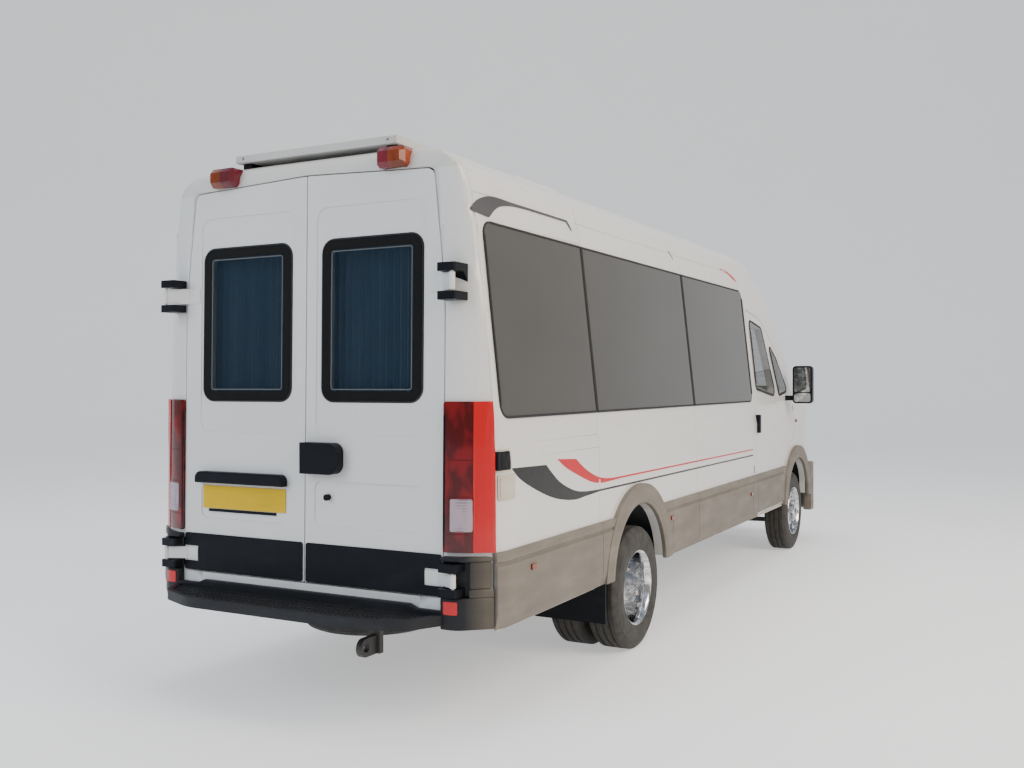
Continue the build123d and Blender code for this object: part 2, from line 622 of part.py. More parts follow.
handle = fillet(handle.edges().filter_by(Axis.X).group_by(Axis.Y)[0], 46)
grip = block(REAR_X - 26, REAR_X - 12, -190, -60, HANDLE_Z[0] - 10, HANDLE_Z[1] - 22)
handle = handle - grip - body_form(RUNNING_GAP)
lock = Pos(REAR_X + 10, -134, SILL_Z + 522) * Rot(0, 90, 0) * Cylinder(15, 40)
lock = lock - sunk * body_form(RUNNING_GAP)
keep("rear_door_fittings_right", group(mirrored(lower_skin), handle, lock))
PLATE_Y = (118.0, REAR_DOOR_OUT_Y - 119)
PLATE_HEIGHT = 111.0
PLATE_LOW_Z = SILL_Z + 434
plate_rows = upright_rows(*PLATE_Y, PLATE_LOW_Z, PLATE_LOW_Z + PLATE_HEIGHT, 6)
plate_skin = body_form(5) - body_form(RUNNING_GAP)
keep("number_plate", sunk * (plate_skin & rear_prism(plate_rows, *FITTING_X)))

# Lamps that wrap the rear corners
lamp_rows = upright_rows(REAR_DOOR_OUT_Y + 6, SIDE_OUT, CLADDING_TOP_Z + 2, BELT_Z + 67, 10)
tail_lamp = lamp_skin & rear_prism(lamp_rows, REAR_X - 60, REAR_X + 78)
keep("tail_lamps", both_sides(tail_lamp))

# Cladding with a bead along its top, and flares, from rows of (distance off the side, z, radius)
SEAM = 4.0
CLAD_PROFILE = [
    (RUNNING_GAP, CLADDING_LOW_Z, 0),
    (8, CLADDING_LOW_Z, 0),
    (CLADDING, CLADDING_LOW_Z + 60, 90),
    (CLADDING, CLADDING_TOP_Z - 60, 0),
    (CLADDING - 9, CLADDING_TOP_Z - 54, 0),
    (CLADDING - 9, CLADDING_TOP_Z - 46, 0),
    (CLADDING - 1, CLADDING_TOP_Z - 40, 0),
    (CLADDING - 3, CLADDING_TOP_Z, 10),
    (RUNNING_GAP, CLADDING_TOP_Z, 0),
]
FLARE_PROFILE = [
    (ARCH_RADIUS, RUNNING_GAP, 0),
    (ARCH_RADIUS, CLADDING + 3, 8),
    (ARCH_RADIUS + 40, CLADDING + 8, 40),
    (ARCH_RADIUS + FLARE_WIDTH, CLADDING + 3, 0),
    (ARCH_RADIUS + FLARE_WIDTH, RUNNING_GAP, 0),
]
clad_outline = [(-HALF_WIDTH - out, up, r) for out, up, r in CLAD_PROFILE]


def flare(x):
    """The arched lip round a wheel's opening on the right."""
    ring = Pos(x, 0, ARCH_Z) * turned(FLARE_PROFILE, -HALF_WIDTH, -1)
    return ring & block(-FAR, FAR, -FAR, FAR, CLADDING_LOW_Z, FAR)


CLAD_SEAMS = [REAR_X + 70, PANEL_SEAM_X - 4, 540, SLIDER_LOW_X - 3, SLIDER_HIGH_X + 3, DOOR_REAR_X - 3]
strips = []
for index, (low, high) in enumerate(zip(CLAD_SEAMS, CLAD_SEAMS[1:])):
    strip = rear_prism(clad_outline, low + SEAM / 2, high - SEAM / 2)
    if index == 1:
        strip = (strip + flare(0)) - arch_drum(0, ARCH_RADIUS, -FAR, FAR)
    strips.append(strip)
door_cut = side_prism(door_outline(64), -SIDE_OUT, -SIDE_IN)
door_clad = rear_prism(clad_outline, DOOR_REAR_X, DOOR_FRONT_X) & door_cut
door_clad = door_clad - arch_drum(WHEELBASE, ARCH_RADIUS + FLARE_WIDTH + PANEL_GAP, -FAR, FAR)
wing_flare = flare(WHEELBASE) - door_hole
keep("side_cladding", group(*[both_sides(strip) for strip in strips], both_sides(wing_flare)))
HANDLE_REAR_X = DOOR_REAR_X + 30
FRONT_HANDLE = [
    (HANDLE_REAR_X, BELT_Z - 258, 8),
    (HANDLE_REAR_X + 44, BELT_Z - 258, 14),
    (HANDLE_REAR_X + 44, BELT_Z - 114, 14),
    (HANDLE_REAR_X, BELT_Z - 114, 8),
]
front_handle = side_prism(FRONT_HANDLE, -HALF_WIDTH - 24, -HALF_WIDTH + 40) - body_form(RUNNING_GAP)

# Mirrors: a tall housing on an arm from the door's front corner
MIRROR_X = (WHEELBASE - 390, WHEELBASE - 300)
MIRROR_Y = (-HALF_WIDTH - 225, -HALF_WIDTH - 57)
MIRROR_Z = (BELT_Z - 42, BELT_Z + 284)
housing = block(*MIRROR_X, *MIRROR_Y, *MIRROR_Z)
housing = fillet(housing.edges().filter_by(Axis.X), 30)
housing = fillet(housing.edges().group_by(Axis.X)[-1], 26)
arm_x = (MIRROR_X[0] + 30, MIRROR_X[1] - 20)
arm = block(*arm_x, MIRROR_Y[1] - 13, -HALF_WIDTH + 50, MIRROR_Z[0] + 24, MIRROR_Z[0] + 68)
arm = arm - body_form(RUNNING_GAP)
right_trim = group(door_clad, front_handle, housing + arm)
keep("front_door_trim_right", right_trim)
keep("front_door_trim_left", mirrored(right_trim))

# Front bumper, kept clear of the flares
BUMPER_OUTLINE = [
    (WHEELBASE + 502, -CLAD_OUT, 20),
    (FRONT_X - 330, -CLAD_OUT, 200),
    (FRONT_X - 110, -HALF_WIDTH + 180, 260),
    (FRONT_X, -HALF_WIDTH + 550, 300),
]
BUMPER_OUTLINE += [(across, -up, r) for across, up, r in reversed(BUMPER_OUTLINE)]
bumper = plan_prism(BUMPER_OUTLINE, 300, LAMP_LOW_Z - 26)
hollow = extrude(Plane.XY * grown(PLAN_OUTLINE, RUNNING_GAP), ROOF_Z)
bumper = bumper - hollow - arch_drum(WHEELBASE, ARCH_RADIUS + 6, -FAR, FAR)
for side in (-1, 1):
    low, high = sorted((side * (HALF_WIDTH - 4), side * FAR))
    bumper = bumper - arch_drum(WHEELBASE, ARCH_RADIUS + FLARE_WIDTH + PANEL_GAP, low, high)
AIR_Y = HALF_WIDTH - 560
keep("front_bumper", bumper - block(FRONT_X - 270, FAR, -AIR_Y, AIR_Y, 380, 470))

# Rear bumper: a step with a raised rim, a back wall, and corners in three tiers
BUMPER_FRONT_X = REAR_X + 66
BUMPER_LOW_Z = SILL_Z - 9
STEP_TOP_Z = SILL_Z + 54
CORNER_IN_Y = HALF_WIDTH - 96
CORNER_TIERS = [
    (BUMPER_LOW_Z, SILL_Z + 162, 0),
    (SILL_Z + 161, SILL_Z + 282, 8),
    (SILL_Z + 281, CLADDING_TOP_Z - 14, 1),
]
corner_rear_x = REAR_PIN_X + 5
corner = None
for low, high, inset in CORNER_TIERS:
    tier = block(corner_rear_x + inset, BUMPER_FRONT_X, CORNER_IN_Y, CLAD_OUT - inset, low, high)
    tier = fillet(tier.edges().filter_by(Axis.Z).group_by(Axis.X)[0].group_by(Axis.Y)[-1], 34)
    corner = tier if corner is None else corner + tier
STEP_OUTLINE = [
    (BUMPER_FRONT_X, -CLAD_OUT, 0),
    (corner_rear_x, -CLAD_OUT, 34),
    (STEP_X + 60, -HALF_WIDTH + 80, 90),
    (STEP_X, -HALF_WIDTH + 420, 300),
]
STEP_OUTLINE += [(across, -up, r) for across, up, r in reversed(STEP_OUTLINE)]
RIM = 26.0
TREAD_OUTLINE = [
    (REAR_X - 34, -HALF_WIDTH + 110, 10),
    (STEP_X + 60 + RIM, -HALF_WIDTH + 110, 70),
    (STEP_X + RIM, -HALF_WIDTH + 424, 270),
]
TREAD_OUTLINE += [(across, -up, r) for across, up, r in reversed(TREAD_OUTLINE)]
step = plan_prism(STEP_OUTLINE, BUMPER_LOW_Z, STEP_TOP_Z)
step = step - plan_prism(TREAD_OUTLINE, STEP_TOP_Z - 8, STEP_TOP_Z + 1)
BACK_OUTLINE = [
    (-CORNER_IN_Y - 6, BUMPER_LOW_Z + 4, 0),
    (-CORNER_IN_Y - 6, SILL_Z + 69, 0),
    (-640, SILL_Z + 69, 20),
    (-600, SILL_Z + 86, 20),
]
BACK_OUTLINE += [(-across, up, r) for across, up, r in reversed(BACK_OUTLINE)]
back = rear_prism(BACK_OUTLINE, REAR_X - 34, REAR_X + 20)
rear_bumper = step + back + corner + mirrored(corner)
rear_bumper = rear_bumper - body_form(RUNNING_GAP)
under_body = block(REAR_X + 20, FAR, -HALF_WIDTH + 80, HALF_WIDTH - 80, 0, FAR)
keep("rear_bumper", rear_bumper - under_body)

# Marker lamps: on the cladding, on the wings and at the rear corners of the roof
SIDE_MARKERS = [
    (REAR_X + 382, SILL_Z + 217),
    (ARCH_RADIUS + 108, SILL_Z + 217),
    (SLIDER_HIGH_X - 55, SILL_Z + 184),
]
markers = []
for x, z in SIDE_MARKERS:
    markers.append(block(x - 24, x + 24, -CLAD_OUT - 9, -CLAD_OUT, z - 12, z + 12))
repeater_x = DOOR_FRONT_X + 68
markers.append(
    block(repeater_x - 22, repeater_x + 22, -HALF_WIDTH - 10, -HALF_WIDTH, BELT_Z - 218, BELT_Z - 191)
)
roof_marker = block(REAR_X - 26, REAR_X + 90, HALF_WIDTH - 582, HALF_WIDTH - 368, GUTTER_Z + 27, GUTTER_Z + 130)
roof_marker = chamfer(roof_marker.edges().filter_by(Axis.X), 20)
roof_marker = chamfer(roof_marker.faces().sort_by(Axis.X)[0].edges(), 24)
markers.append(roof_marker - body_form(RUNNING_GAP))
keep("marker_lamps", group(*[both_sides(marker) for marker in markers]))

# Floor with the bulkhead behind the engine
BULKHEAD_X = WHEELBASE - 150
BULKHEAD_TOP_Z = BELT_Z - 120
floor_y = HALF_WIDTH - WALL - RUNNING_GAP
floor_rows = [
    (REAR_X + 96, -floor_y, 20),
    (BULKHEAD_X, -floor_y, 0),
    (BULKHEAD_X, floor_y, 0),
    (REAR_X + 96, floor_y, 20),
]
floor = plan_prism(floor_rows, FLOOR_Z - FLOOR_THICK, FLOOR_Z)
LINER = 6.0
LINER_IN = ARCH_RADIUS + 7
for _, x in ARCHES:
    for side in (-1, 1):
        low, high = sorted((side * (LINER_WALL_Y - 8), side * SIDE_OUT))
        floor = floor - arch_drum(x, LINER_IN + LINER + 2, low, high)
low_wall_y = LINER_WALL_Y - 12
floor = floor + block(BULKHEAD_X - 20, BULKHEAD_X, -low_wall_y, low_wall_y, FLOOR_Z - 1, BULKHEAD_TOP_Z)
floor = floor + block(
    BULKHEAD_X - 20, BULKHEAD_X, -HALF_WIDTH + 75, HALF_WIDTH - 75, ARCH_Z + LINER_IN + 14, BULKHEAD_TOP_Z
)
keep("floor_pan", floor)

# Chassis: two rails with the tow eye, and the cross members and outriggers that butt against them
FRAME_REAR_X = REAR_X + 58
FRAME_FRONT_X = FRONT_X - 410
RAIL_Y = (REAR_Y - 452, REAR_Y - 378)
RAIL_Z = (SILL_Z + 30, FLOOR_Z - FLOOR_THICK)
SPARE_X = REAR_X + 552
CROSS_MEMBERS = [FRAME_REAR_X + 30, SPARE_X, -700, 820, 1700, DOOR_REAR_X + 40, FRAME_FRONT_X - 40]
OUTRIGGERS = [SLIDER_LOW_X, 1900, DOOR_REAR_X - 60, WHEELBASE - 650]
rail = block(FRAME_REAR_X, FRAME_FRONT_X, *RAIL_Y, *RAIL_Z)
members = [
    block(x - 30, x + 30, -RAIL_Y[0], RAIL_Y[0], RAIL_Z[0] + 10, RAIL_Z[1] - 10) for x in CROSS_MEMBERS
]
for x in OUTRIGGERS:
    for side in (-1, 1):
        low, high = sorted((side * RAIL_Y[1], side * (HALF_WIDTH - WALL - 1)))
        members.append(block(x - 20, x + 20, low, high, RAIL_Z[1] - 60, RAIL_Z[1]))
keep("cross_members", group(*members))
TOW_EYE_Y = -sum(RAIL_Y) / 2
TOW_EYE_Z = SILL_Z - 138
TOW_BORE = 21.0
TOW_LUG = 28.0
TOW_RADIUS = 42.0
tow_low_z = TOW_EYE_Z - TOW_RADIUS
tow_post = block(
    FRAME_REAR_X, FRAME_REAR_X + 30, TOW_EYE_Y - 30, TOW_EYE_Y + 30, tow_low_z, RAIL_Z[0] + 1
)
tow_lug_y = (TOW_EYE_Y - TOW_LUG / 2, TOW_EYE_Y + TOW_LUG / 2)
tow_eye = block(REAR_X - 20, FRAME_REAR_X + 1, *tow_lug_y, tow_low_z, TOW_EYE_Z + TOW_RADIUS)
tow_eye = tow_eye + cross_rod(REAR_X - 20, TOW_EYE_Z, TOW_RADIUS, *tow_lug_y)
tow_eye = tow_eye - cross_rod(REAR_X - 20, TOW_EYE_Z, TOW_BORE, TOW_EYE_Y - 100, TOW_EYE_Y + 100)
keep("chassis_frame", rail + mirrored(rail) + tow_post + tow_eye)

# Front crossmember with its arms, hung under the rails; the knuckles steer about upright pins
KINGPIN_Y = WHEEL_Y - 62
ARM_THICK = 30.0
ARMS = [(AXLE_Z - 95, 90), (AXLE_Z + 123, 52)]
cross_x = (WHEELBASE - 70, WHEELBASE + 70)
cross = block(*cross_x, -RAIL_Y[1], RAIL_Y[1], RAIL_Z[0] - 100, RAIL_Z[0] - RUNNING_GAP)
for side in (-1, 1):
    for z, half_root in ARMS:
        arm_rows = [
            (WHEELBASE - half_root, side * (RAIL_Y[1] - 12), 0),
            (WHEELBASE - 22, side * (KINGPIN_Y + 18), 12),
            (WHEELBASE + 22, side * (KINGPIN_Y + 18), 12),
            (WHEELBASE + half_root, side * (RAIL_Y[1] - 12), 0),
        ]
        cross = cross + plan_prism(arm_rows, z - ARM_THICK / 2, z + ARM_THICK / 2)
    low, high = sorted((side * RAIL_Y[1], side * (RAIL_Y[1] - 40)))
    cross = cross + block(*cross_x, low, high, ARMS[0][0] - ARM_THICK / 2, RAIL_Z[0] - 80)
keep("front_crossmember", cross)

# Wheel housings above the tyres, and flaps behind the rear ones
inner_room = body_form(-WALL - RUNNING_GAP)
liners = []
for _, x in ARCHES:
    tub = arch_drum(x, LINER_IN + LINER, -HALF_WIDTH + WALL, -LINER_WALL_Y)
    tub = tub - arch_drum(x, LINER_IN, -FAR, -LINER_WALL_Y - LINER)
    liners.append(tub & inner_room & block(-FAR, FAR, -FAR, FAR, SILL_Z, FAR))
arm_top_z = ARMS[1][0] + ARM_THICK / 2 + 8
arm_slot = block(WHEELBASE - 110, WHEELBASE + 110, -FAR, -LINER_WALL_Y + 10, SILL_Z - 10, arm_top_z)
keep("front_arch_liners", both_sides(liners[1] - arm_slot))
FLAP_X = -ARCH_RADIUS - 73
flap = block(FLAP_X, FLAP_X + 8, -HALF_WIDTH + 2, -HALF_WIDTH + 420, SILL_Z - 235, SILL_Z)
keep("rear_arch_liners", group(both_sides(liners[0]), both_sides(flap)))

# Rear axle with its springs and propeller shaft
AXLE_END_Y = REAR_Y - 240
AXLE_TUBE = 62.0
axle = cross_rod(0, AXLE_Z, AXLE_TUBE, -AXLE_END_Y, AXLE_END_Y)
axle = axle + Pos(0, 0, AXLE_Z) * Sphere(158) + long_rod(0, AXLE_Z + 20, 42, 100, WHEELBASE - 850)
SPRING_Y = (REAR_Y - 346, REAR_Y - 276)
LEAF_REACH = 720.0
LEAF_HALF = [(0, AXLE_Z + AXLE_TUBE - 4, 400), (300, AXLE_Z + 93, 300), (LEAF_REACH, RAIL_Z[1] - 60, 0)]
leaf_rows = [(-across, up, r) for across, up, r in reversed(LEAF_HALF[1:])] + LEAF_HALF
leaf_rows += [(across, up + 40, r) for across, up, r in reversed(leaf_rows)]
for side in (-1, 1):
    low, high = sorted((side * SPRING_Y[0], side * SPRING_Y[1]))
    axle = axle + side_prism(leaf_rows, low, high)
    for x in (-LEAF_REACH + 20, LEAF_REACH - 20):
        low_y, high_y = sorted((side * (RAIL_Y[1] + RUNNING_GAP), side * SPRING_Y[1]))
        axle = axle + block(x - 22, x + 22, low_y, high_y, RAIL_Z[1] - 75, RAIL_Z[1] - 20)
keep("rear_axle", axle)

# Steering knuckles: an upright between the arms and a stub axle
STUB = 26.0
STUB_END_Y = WHEEL_Y + 40
UPRIGHT_Z = (ARMS[0][0] + ARM_THICK / 2 + RUNNING_GAP, ARMS[1][0] - ARM_THICK / 2 - RUNNING_GAP)
knuckle = post(WHEELBASE, -KINGPIN_Y, 19, *UPRIGHT_Z)
knuckle = knuckle + cross_rod(WHEELBASE, AXLE_Z, STUB, -STUB_END_Y, -KINGPIN_Y)
lever_y = (-KINGPIN_Y - 10, -KINGPIN_Y + 10)
knuckle = knuckle + block(WHEELBASE - 120, WHEELBASE, *lever_y, AXLE_Z - 34, AXLE_Z - 4)
keep("knuckle_right", knuckle)
keep("knuckle_left", mirrored(knuckle))

# Wheels and tyres, turned from rows of (radius, distance outward from the tyre's middle, corner radius)
TYRE_ROWS = [
    (RIM_RADIUS + RUNNING_GAP, -80, 0),
    (RIM_RADIUS + RUNNING_GAP, 80, 0),
    (TYRE_RADIUS - 52, TYRE_WIDTH / 2, 0),
    (TYRE_RADIUS, TYRE_WIDTH / 2 - 22, 0),
]
TYRE_ROWS += [(r, -out, corner) for r, out, corner in reversed(TYRE_ROWS[2:])]
FRONT_RIM_ROWS = [
    (STUB + RUNNING_GAP, -26, 0),
    (130, -26, 0),
    (130, -14, 0),
    (62, -14, 0),
    (62, 48, 0),
    (112, 48, 0),
    (150, 30, 0),
    (RIM_RADIUS - 16, 22, 0),
    (RIM_RADIUS - 16, -84, 0),
    (RIM_RADIUS + 8, -92, 0),
    (RIM_RADIUS + 8, -88, 0),
    (RIM_RADIUS, -81, 0),
    (RIM_RADIUS, 81, 0),
    (RIM_RADIUS + 8, 88, 0),
    (RIM_RADIUS + 8, 92, 0),
    (RIM_RADIUS - 10, 84, 0),
    (RIM_RADIUS - 12, 36, 0),
    (156, 46, 0),
    (118, 66, 0),
    (66, 66, 0),
    (58, 108, 0),
    (STUB + RUNNING_GAP, 108, 0),
]
TWIN = TWIN_SPACING / 2
HALF_TWIN_ROWS = [
    (0, 0, 0),
    (0, 84, 0),
    (56, 84, 0),
    (78, 20, 0),
    (118, 12, 0),
    (150, 22, 0),
    (RIM_RADIUS - 14, 60, 0),
    (RIM_RADIUS - 10, TWIN + 84, 0),
    (RIM_RADIUS + 8, TWIN + 92, 0),
    (RIM_RADIUS + 8, TWIN + 88, 0),
    (RIM_RADIUS, TWIN + 81, 0),
    (RIM_RADIUS, TWIN - 81, 0),
    (RIM_RADIUS + 8, TWIN - 88, 0),
    (RIM_RADIUS + 8, TWIN - 92, 0),
    (RIM_RADIUS - 10, TWIN - 84, 0),
    (150, 0, 0),
]
HUB_IN_Y = AXLE_END_Y + RUNNING_GAP


def wheel_at(rows, x, y):
    """A right-hand body of revolution with its middle at a wheel's place."""
    return Pos(x, 0, AXLE_Z) * turned(rows, -y, -1)


front_tyre = wheel_at(TYRE_ROWS, WHEELBASE, WHEEL_Y)
front_rim = wheel_at(FRONT_RIM_ROWS, WHEELBASE, WHEEL_Y)
keep("front_tyre_right", front_tyre)
keep("front_tyre_left", mirrored(front_tyre))
keep("front_wheel_right", front_rim)
keep("front_wheel_left", mirrored(front_rim))
rear_tyres = group(*[wheel_at(TYRE_ROWS, 0, REAR_Y + side * TWIN) for side in (-1, 1)])
half_twin = wheel_at(HALF_TWIN_ROWS, 0, REAR_Y)
inner_half = Pos(0, -2 * REAR_Y, 0) * mirrored(half_twin)
rear_rims = half_twin + inner_half + cross_rod(0, AXLE_Z, 60, -REAR_Y, -HUB_IN_Y)
keep("rear_tyres_right", rear_tyres)
keep("rear_tyres_left", mirrored(rear_tyres))
keep("rear_wheels_right", rear_rims)
keep("rear_wheels_left", mirrored(rear_rims))

# Spare wheel, flat under the tail
SPARE_Z = SILL_Z - 80
spare = Pos(SPARE_X, 0, SPARE_Z) * Rot(90, 0, 0) * turned(TYRE_ROWS, 0, -1)
spare = spare + post(SPARE_X, 0, RIM_RADIUS + 2, SPARE_Z + 10, SPARE_Z + 30)
spare = spare + post(SPARE_X, 0, 22, SPARE_Z + 29, RAIL_Z[0] + 10 - RUNNING_GAP)
keep("spare_wheel", spare)

# Engine with its gearbox, exhaust and tank
ENGINE_X = (WHEELBASE - 90, FRONT_X - 490)
ENGINE_Y = RAIL_Y[0] - 63
engine = block(*ENGINE_X, -ENGINE_Y, ENGINE_Y, RAIL_Z[0], LAMP_HIGH_Z - 54)
GEARBOX_X = (WHEELBASE - 830, ENGINE_X[0] + 1)
engine = engine + block(*GEARBOX_X, -130, 130, AXLE_Z + 83, RAIL_Z[1] - 8)
keep("engine", engine)
EXHAUST_Y = RAIL_Y[0] - 72
SILENCER_X = (1200.0, 1900.0)
exhaust = long_rod(EXHAUST_Y, SILL_Z, 27, -520, WHEELBASE - 900)
exhaust = exhaust + long_rod(EXHAUST_Y - 16, SILL_Z - 50, 84, *SILENCER_X)
for x in CROSS_MEMBERS[3:5]:
    hanger_y = (EXHAUST_Y - 6, EXHAUST_Y + 6)
    exhaust = exhaust + block(x - 12, x + 12, *hanger_y, SILL_Z + 10, RAIL_Z[0] + 10 - RUNNING_GAP)
keep("exhaust", exhaust)
TANK_X = (SLIDER_LOW_X + 62, 1840)
tank = block(*TANK_X, RAIL_Y[1] + 16, HALF_WIDTH - 120, SILL_Z - 98, RAIL_Z[1] - RUNNING_GAP)
keep("fuel_tank", fillet(tank.edges().filter_by(Axis.X), 30))

# Cab: two seats, dashboard and steering wheel
SEAT_Y = HALF_WIDTH - 550
SEAT_X = WHEELBASE - 1210
SEAT_Z = FLOOR_Z + 305
CUSHION = [
    (SEAT_X, SEAT_Z, 30),
    (SEAT_X + 550, SEAT_Z, 30),
    (SEAT_X + 550, SEAT_Z + 130, 50),
    (SEAT_X, SEAT_Z + 130, 50),
]
SEAT_BACK = [
    (SEAT_X + 50, SEAT_Z + 90, 20),
    (SEAT_X - 90, SEAT_Z + 740, 40),
    (SEAT_X - 200, SEAT_Z + 730, 40),
    (SEAT_X - 80, SEAT_Z + 70, 20),
]
HEADREST = [
    (SEAT_X - 104, SEAT_Z + 762, 26),
    (SEAT_X - 132, SEAT_Z + 940, 34),
    (SEAT_X - 210, SEAT_Z + 930, 34),
    (SEAT_X - 192, SEAT_Z + 752, 26),
]
seats = []
for y in (-SEAT_Y, SEAT_Y):
    seat = block(SEAT_X + 50, SEAT_X + 490, y - 190, y + 190, FLOOR_Z + RUNNING_GAP, SEAT_Z + 20)
    seat = seat + side_prism(CUSHION, y - 245, y + 245) + side_prism(SEAT_BACK, y - 235, y + 235)
    neck = block(SEAT_X - 174, SEAT_X - 134, y - 60, y + 60, SEAT_Z + 700, SEAT_Z + 800)
    seats.append(seat + side_prism(HEADREST, y - 130, y + 130) + neck)
keep("seats", group(*seats))
dash_front_x = BULKHEAD_X - 20 - RUNNING_GAP
dash_rows = [
    (dash_front_x, BELT_Z - 310, 0),
    (WHEELBASE - 390, BELT_Z - 370, 40),
    (WHEELBASE - 510, BELT_Z - 190, 60),
    (WHEELBASE - 430, BELT_Z + 2, 60),
    (dash_front_x, BELT_Z + 32, 0),
]
dash = side_prism(dash_rows, -HALF_WIDTH + 90, HALF_WIDTH - 90)
WHEEL_TILT = 48.0
column = Pos(WHEELBASE - 580, -SEAT_Y, BELT_Z - 102) * Rot(0, -WHEEL_TILT, 0)
steering = Torus(192, 15) + Cylinder(58, 30) + Pos(0, 0, -110) * Cylinder(30, 220)
for turn in (0, 120, 240):
    steering = steering + Rot(0, 0, turn) * Pos(110, 0, 0) * Box(170, 26, 14)
keep("dashboard", dash + column * steering)

# Curtains on the inside of the rear doors
curtain_skin = body_form(-WALL) - body_form(-WALL - 8)
curtain_rows = upright_rows(30, REAR_DOOR_OUT_Y - 51, BELT_Z + 22, GLASS_TOP_Z + 4, 6)
curtain = curtain_skin & rear_prism(curtain_rows, REAR_X, REAR_X + REAR_LEAN + WALL + 12)
keep("rear_curtain_left", curtain)
keep("rear_curtain_right", mirrored(curtain))

os.makedirs("parts", exist_ok=True)
for name, shape in parts.items():
    export_step(shape, f"parts/{name}.step")
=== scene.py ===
"""Dressed model of a high-roof camper van with twin rear wheels.

The solids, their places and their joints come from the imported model. This script gives every one of them
its finish, softens its edges and adds the stripes, rubbers, lamp lenses, treads, curtains and padding.
Lengths are in metres. Places that repeat the part's source are in millimetres from the rear axle, and van()
turns them into the model's metres.
"""

from __future__ import annotations

import json
import logging
import math
from collections.abc import Callable, Iterable
from dataclasses import dataclass, field
from enum import Enum

import bmesh
import bpy
from mathutils import Matrix, Vector
from mathutils.bvhtree import BVHTree
from mathutils.geometry import delaunay_2d_cdt

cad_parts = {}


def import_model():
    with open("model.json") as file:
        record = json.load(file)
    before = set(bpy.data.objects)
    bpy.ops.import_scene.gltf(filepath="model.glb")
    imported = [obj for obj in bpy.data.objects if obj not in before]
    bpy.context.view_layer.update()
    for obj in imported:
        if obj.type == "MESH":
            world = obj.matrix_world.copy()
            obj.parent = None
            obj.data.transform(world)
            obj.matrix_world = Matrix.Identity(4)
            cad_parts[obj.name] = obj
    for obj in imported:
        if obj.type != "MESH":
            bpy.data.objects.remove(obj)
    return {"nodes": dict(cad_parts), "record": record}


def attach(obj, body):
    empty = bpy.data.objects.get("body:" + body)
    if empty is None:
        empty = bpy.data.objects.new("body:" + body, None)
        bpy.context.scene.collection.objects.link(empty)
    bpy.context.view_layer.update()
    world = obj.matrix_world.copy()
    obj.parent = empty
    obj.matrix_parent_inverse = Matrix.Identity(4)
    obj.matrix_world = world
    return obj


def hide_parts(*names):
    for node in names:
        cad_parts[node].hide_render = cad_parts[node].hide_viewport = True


LOG = logging.getLogger("camper")

Colour = tuple[float, float, float]
Point2 = tuple[float, float]
Row = tuple[float, float, float]
Face = tuple[int, ...]
Solid = tuple[list[Vector], list[Face]]
Spot = tuple[Vector, Vector]
Project = Callable[[float, float], Spot | None]
Socket = bpy.types.NodeSocket

# The model's origin forward of the rear axle, the distance of the axles and their height, in millimetres
MIDDLE_X = 1475.0
WHEELBASE = 3950.0
AXLE_Z = 347.0


def van(x: float, y: float, z: float) -> Vector:
    """Turns a place in millimetres from the rear axle into the model's metres.

    Args:
        x: Distance forward from the rear axle.
        y: Distance to the left of the middle.
        z: Height over the ground.

    Returns:
        The point in the model's frame.
    """
    return Vector(((x - MIDDLE_X) / 1000, y / 1000, z / 1000))


class Side(Enum):
    """The van's two sides, as the sign of y."""

    LEFT = 1
    RIGHT = -1

    @property
    def word(self) -> str:
        """The side's name in lower case."""
        return self.name.lower()


# Finishes

NONE: Colour = (0.0, 0.0, 0.0)
FULL: Colour = (1.0, 1.0, 1.0)
DIRT: Colour = (1.0, 0.85, 0.65)
DUST: Colour = (1.0, 0.88, 0.7)

# Road grime fades between these heights, and the bumper turns paler between these distances from the middle
GRIME_HEIGHTS = (0.45, 0.95)
# The bumper's paler side is painted sunlight on its side faces, with some sun bleaching
SUNLIT_SIDE_FROM_TO = (0.87, 0.945)


def shaded(colour: Colour, share: float) -> Colour:
    """A colour made darker or paler by a factor."""
    return tuple(min(1.0, share * value) for value in colour)


class Tree:
    """A node tree that is built node by node."""

    def __init__(self, tree: bpy.types.NodeTree) -> None:
        """Takes the tree that it adds nodes to.

        Args:
            tree: The tree.
        """
        self.tree = tree

    def join(self, value: object, socket: Socket) -> None:
        """Links a socket to another one, or sets it to a plain value."""
        if isinstance(value, Socket):
            self.tree.links.new(value, socket)
        else:
            socket.default_value = value

    def node(self, kind: str, **inputs: object) -> bpy.types.Node:
        """Adds a node.

        Args:
            kind: Its type.
            inputs: Sockets or values for its inputs, with underscores for the blanks in their names.

        Returns:
            The node.
        """
        node = self.tree.nodes.new(kind)
        for key, value in inputs.items():
            self.join(value, node.inputs[key.replace("_", " ")])
        return node

    def maths(self, kind: str, first: Socket | float, second: Socket | float) -> Socket:
        """Adds a Math node on two values, such as "MULTIPLY"."""
        node = self.tree.nodes.new("ShaderNodeMath")
        node.operation = kind
        self.join(first, node.inputs[0])
        self.join(second, node.inputs[1])
        return node.outputs[0]

    def ramp(self, source: Socket, stops: list[tuple[float, Colour]]) -> Socket:
        """A colour ramp.

        Args:
            source: The value it reads.
            stops: Places from 0 to 1, each with its colour.

        Returns:
            The colour.
        """
        ramp = self.node("ShaderNodeValToRGB", Fac=source)
        while len(ramp.color_ramp.elements) < len(stops):
            ramp.color_ramp.elements.new(0.5)
        for element, (place, colour) in zip(ramp.color_ramp.elements, stops):
            element.position = place
            element.color = (*colour, 1.0)
        return ramp.outputs["Color"]


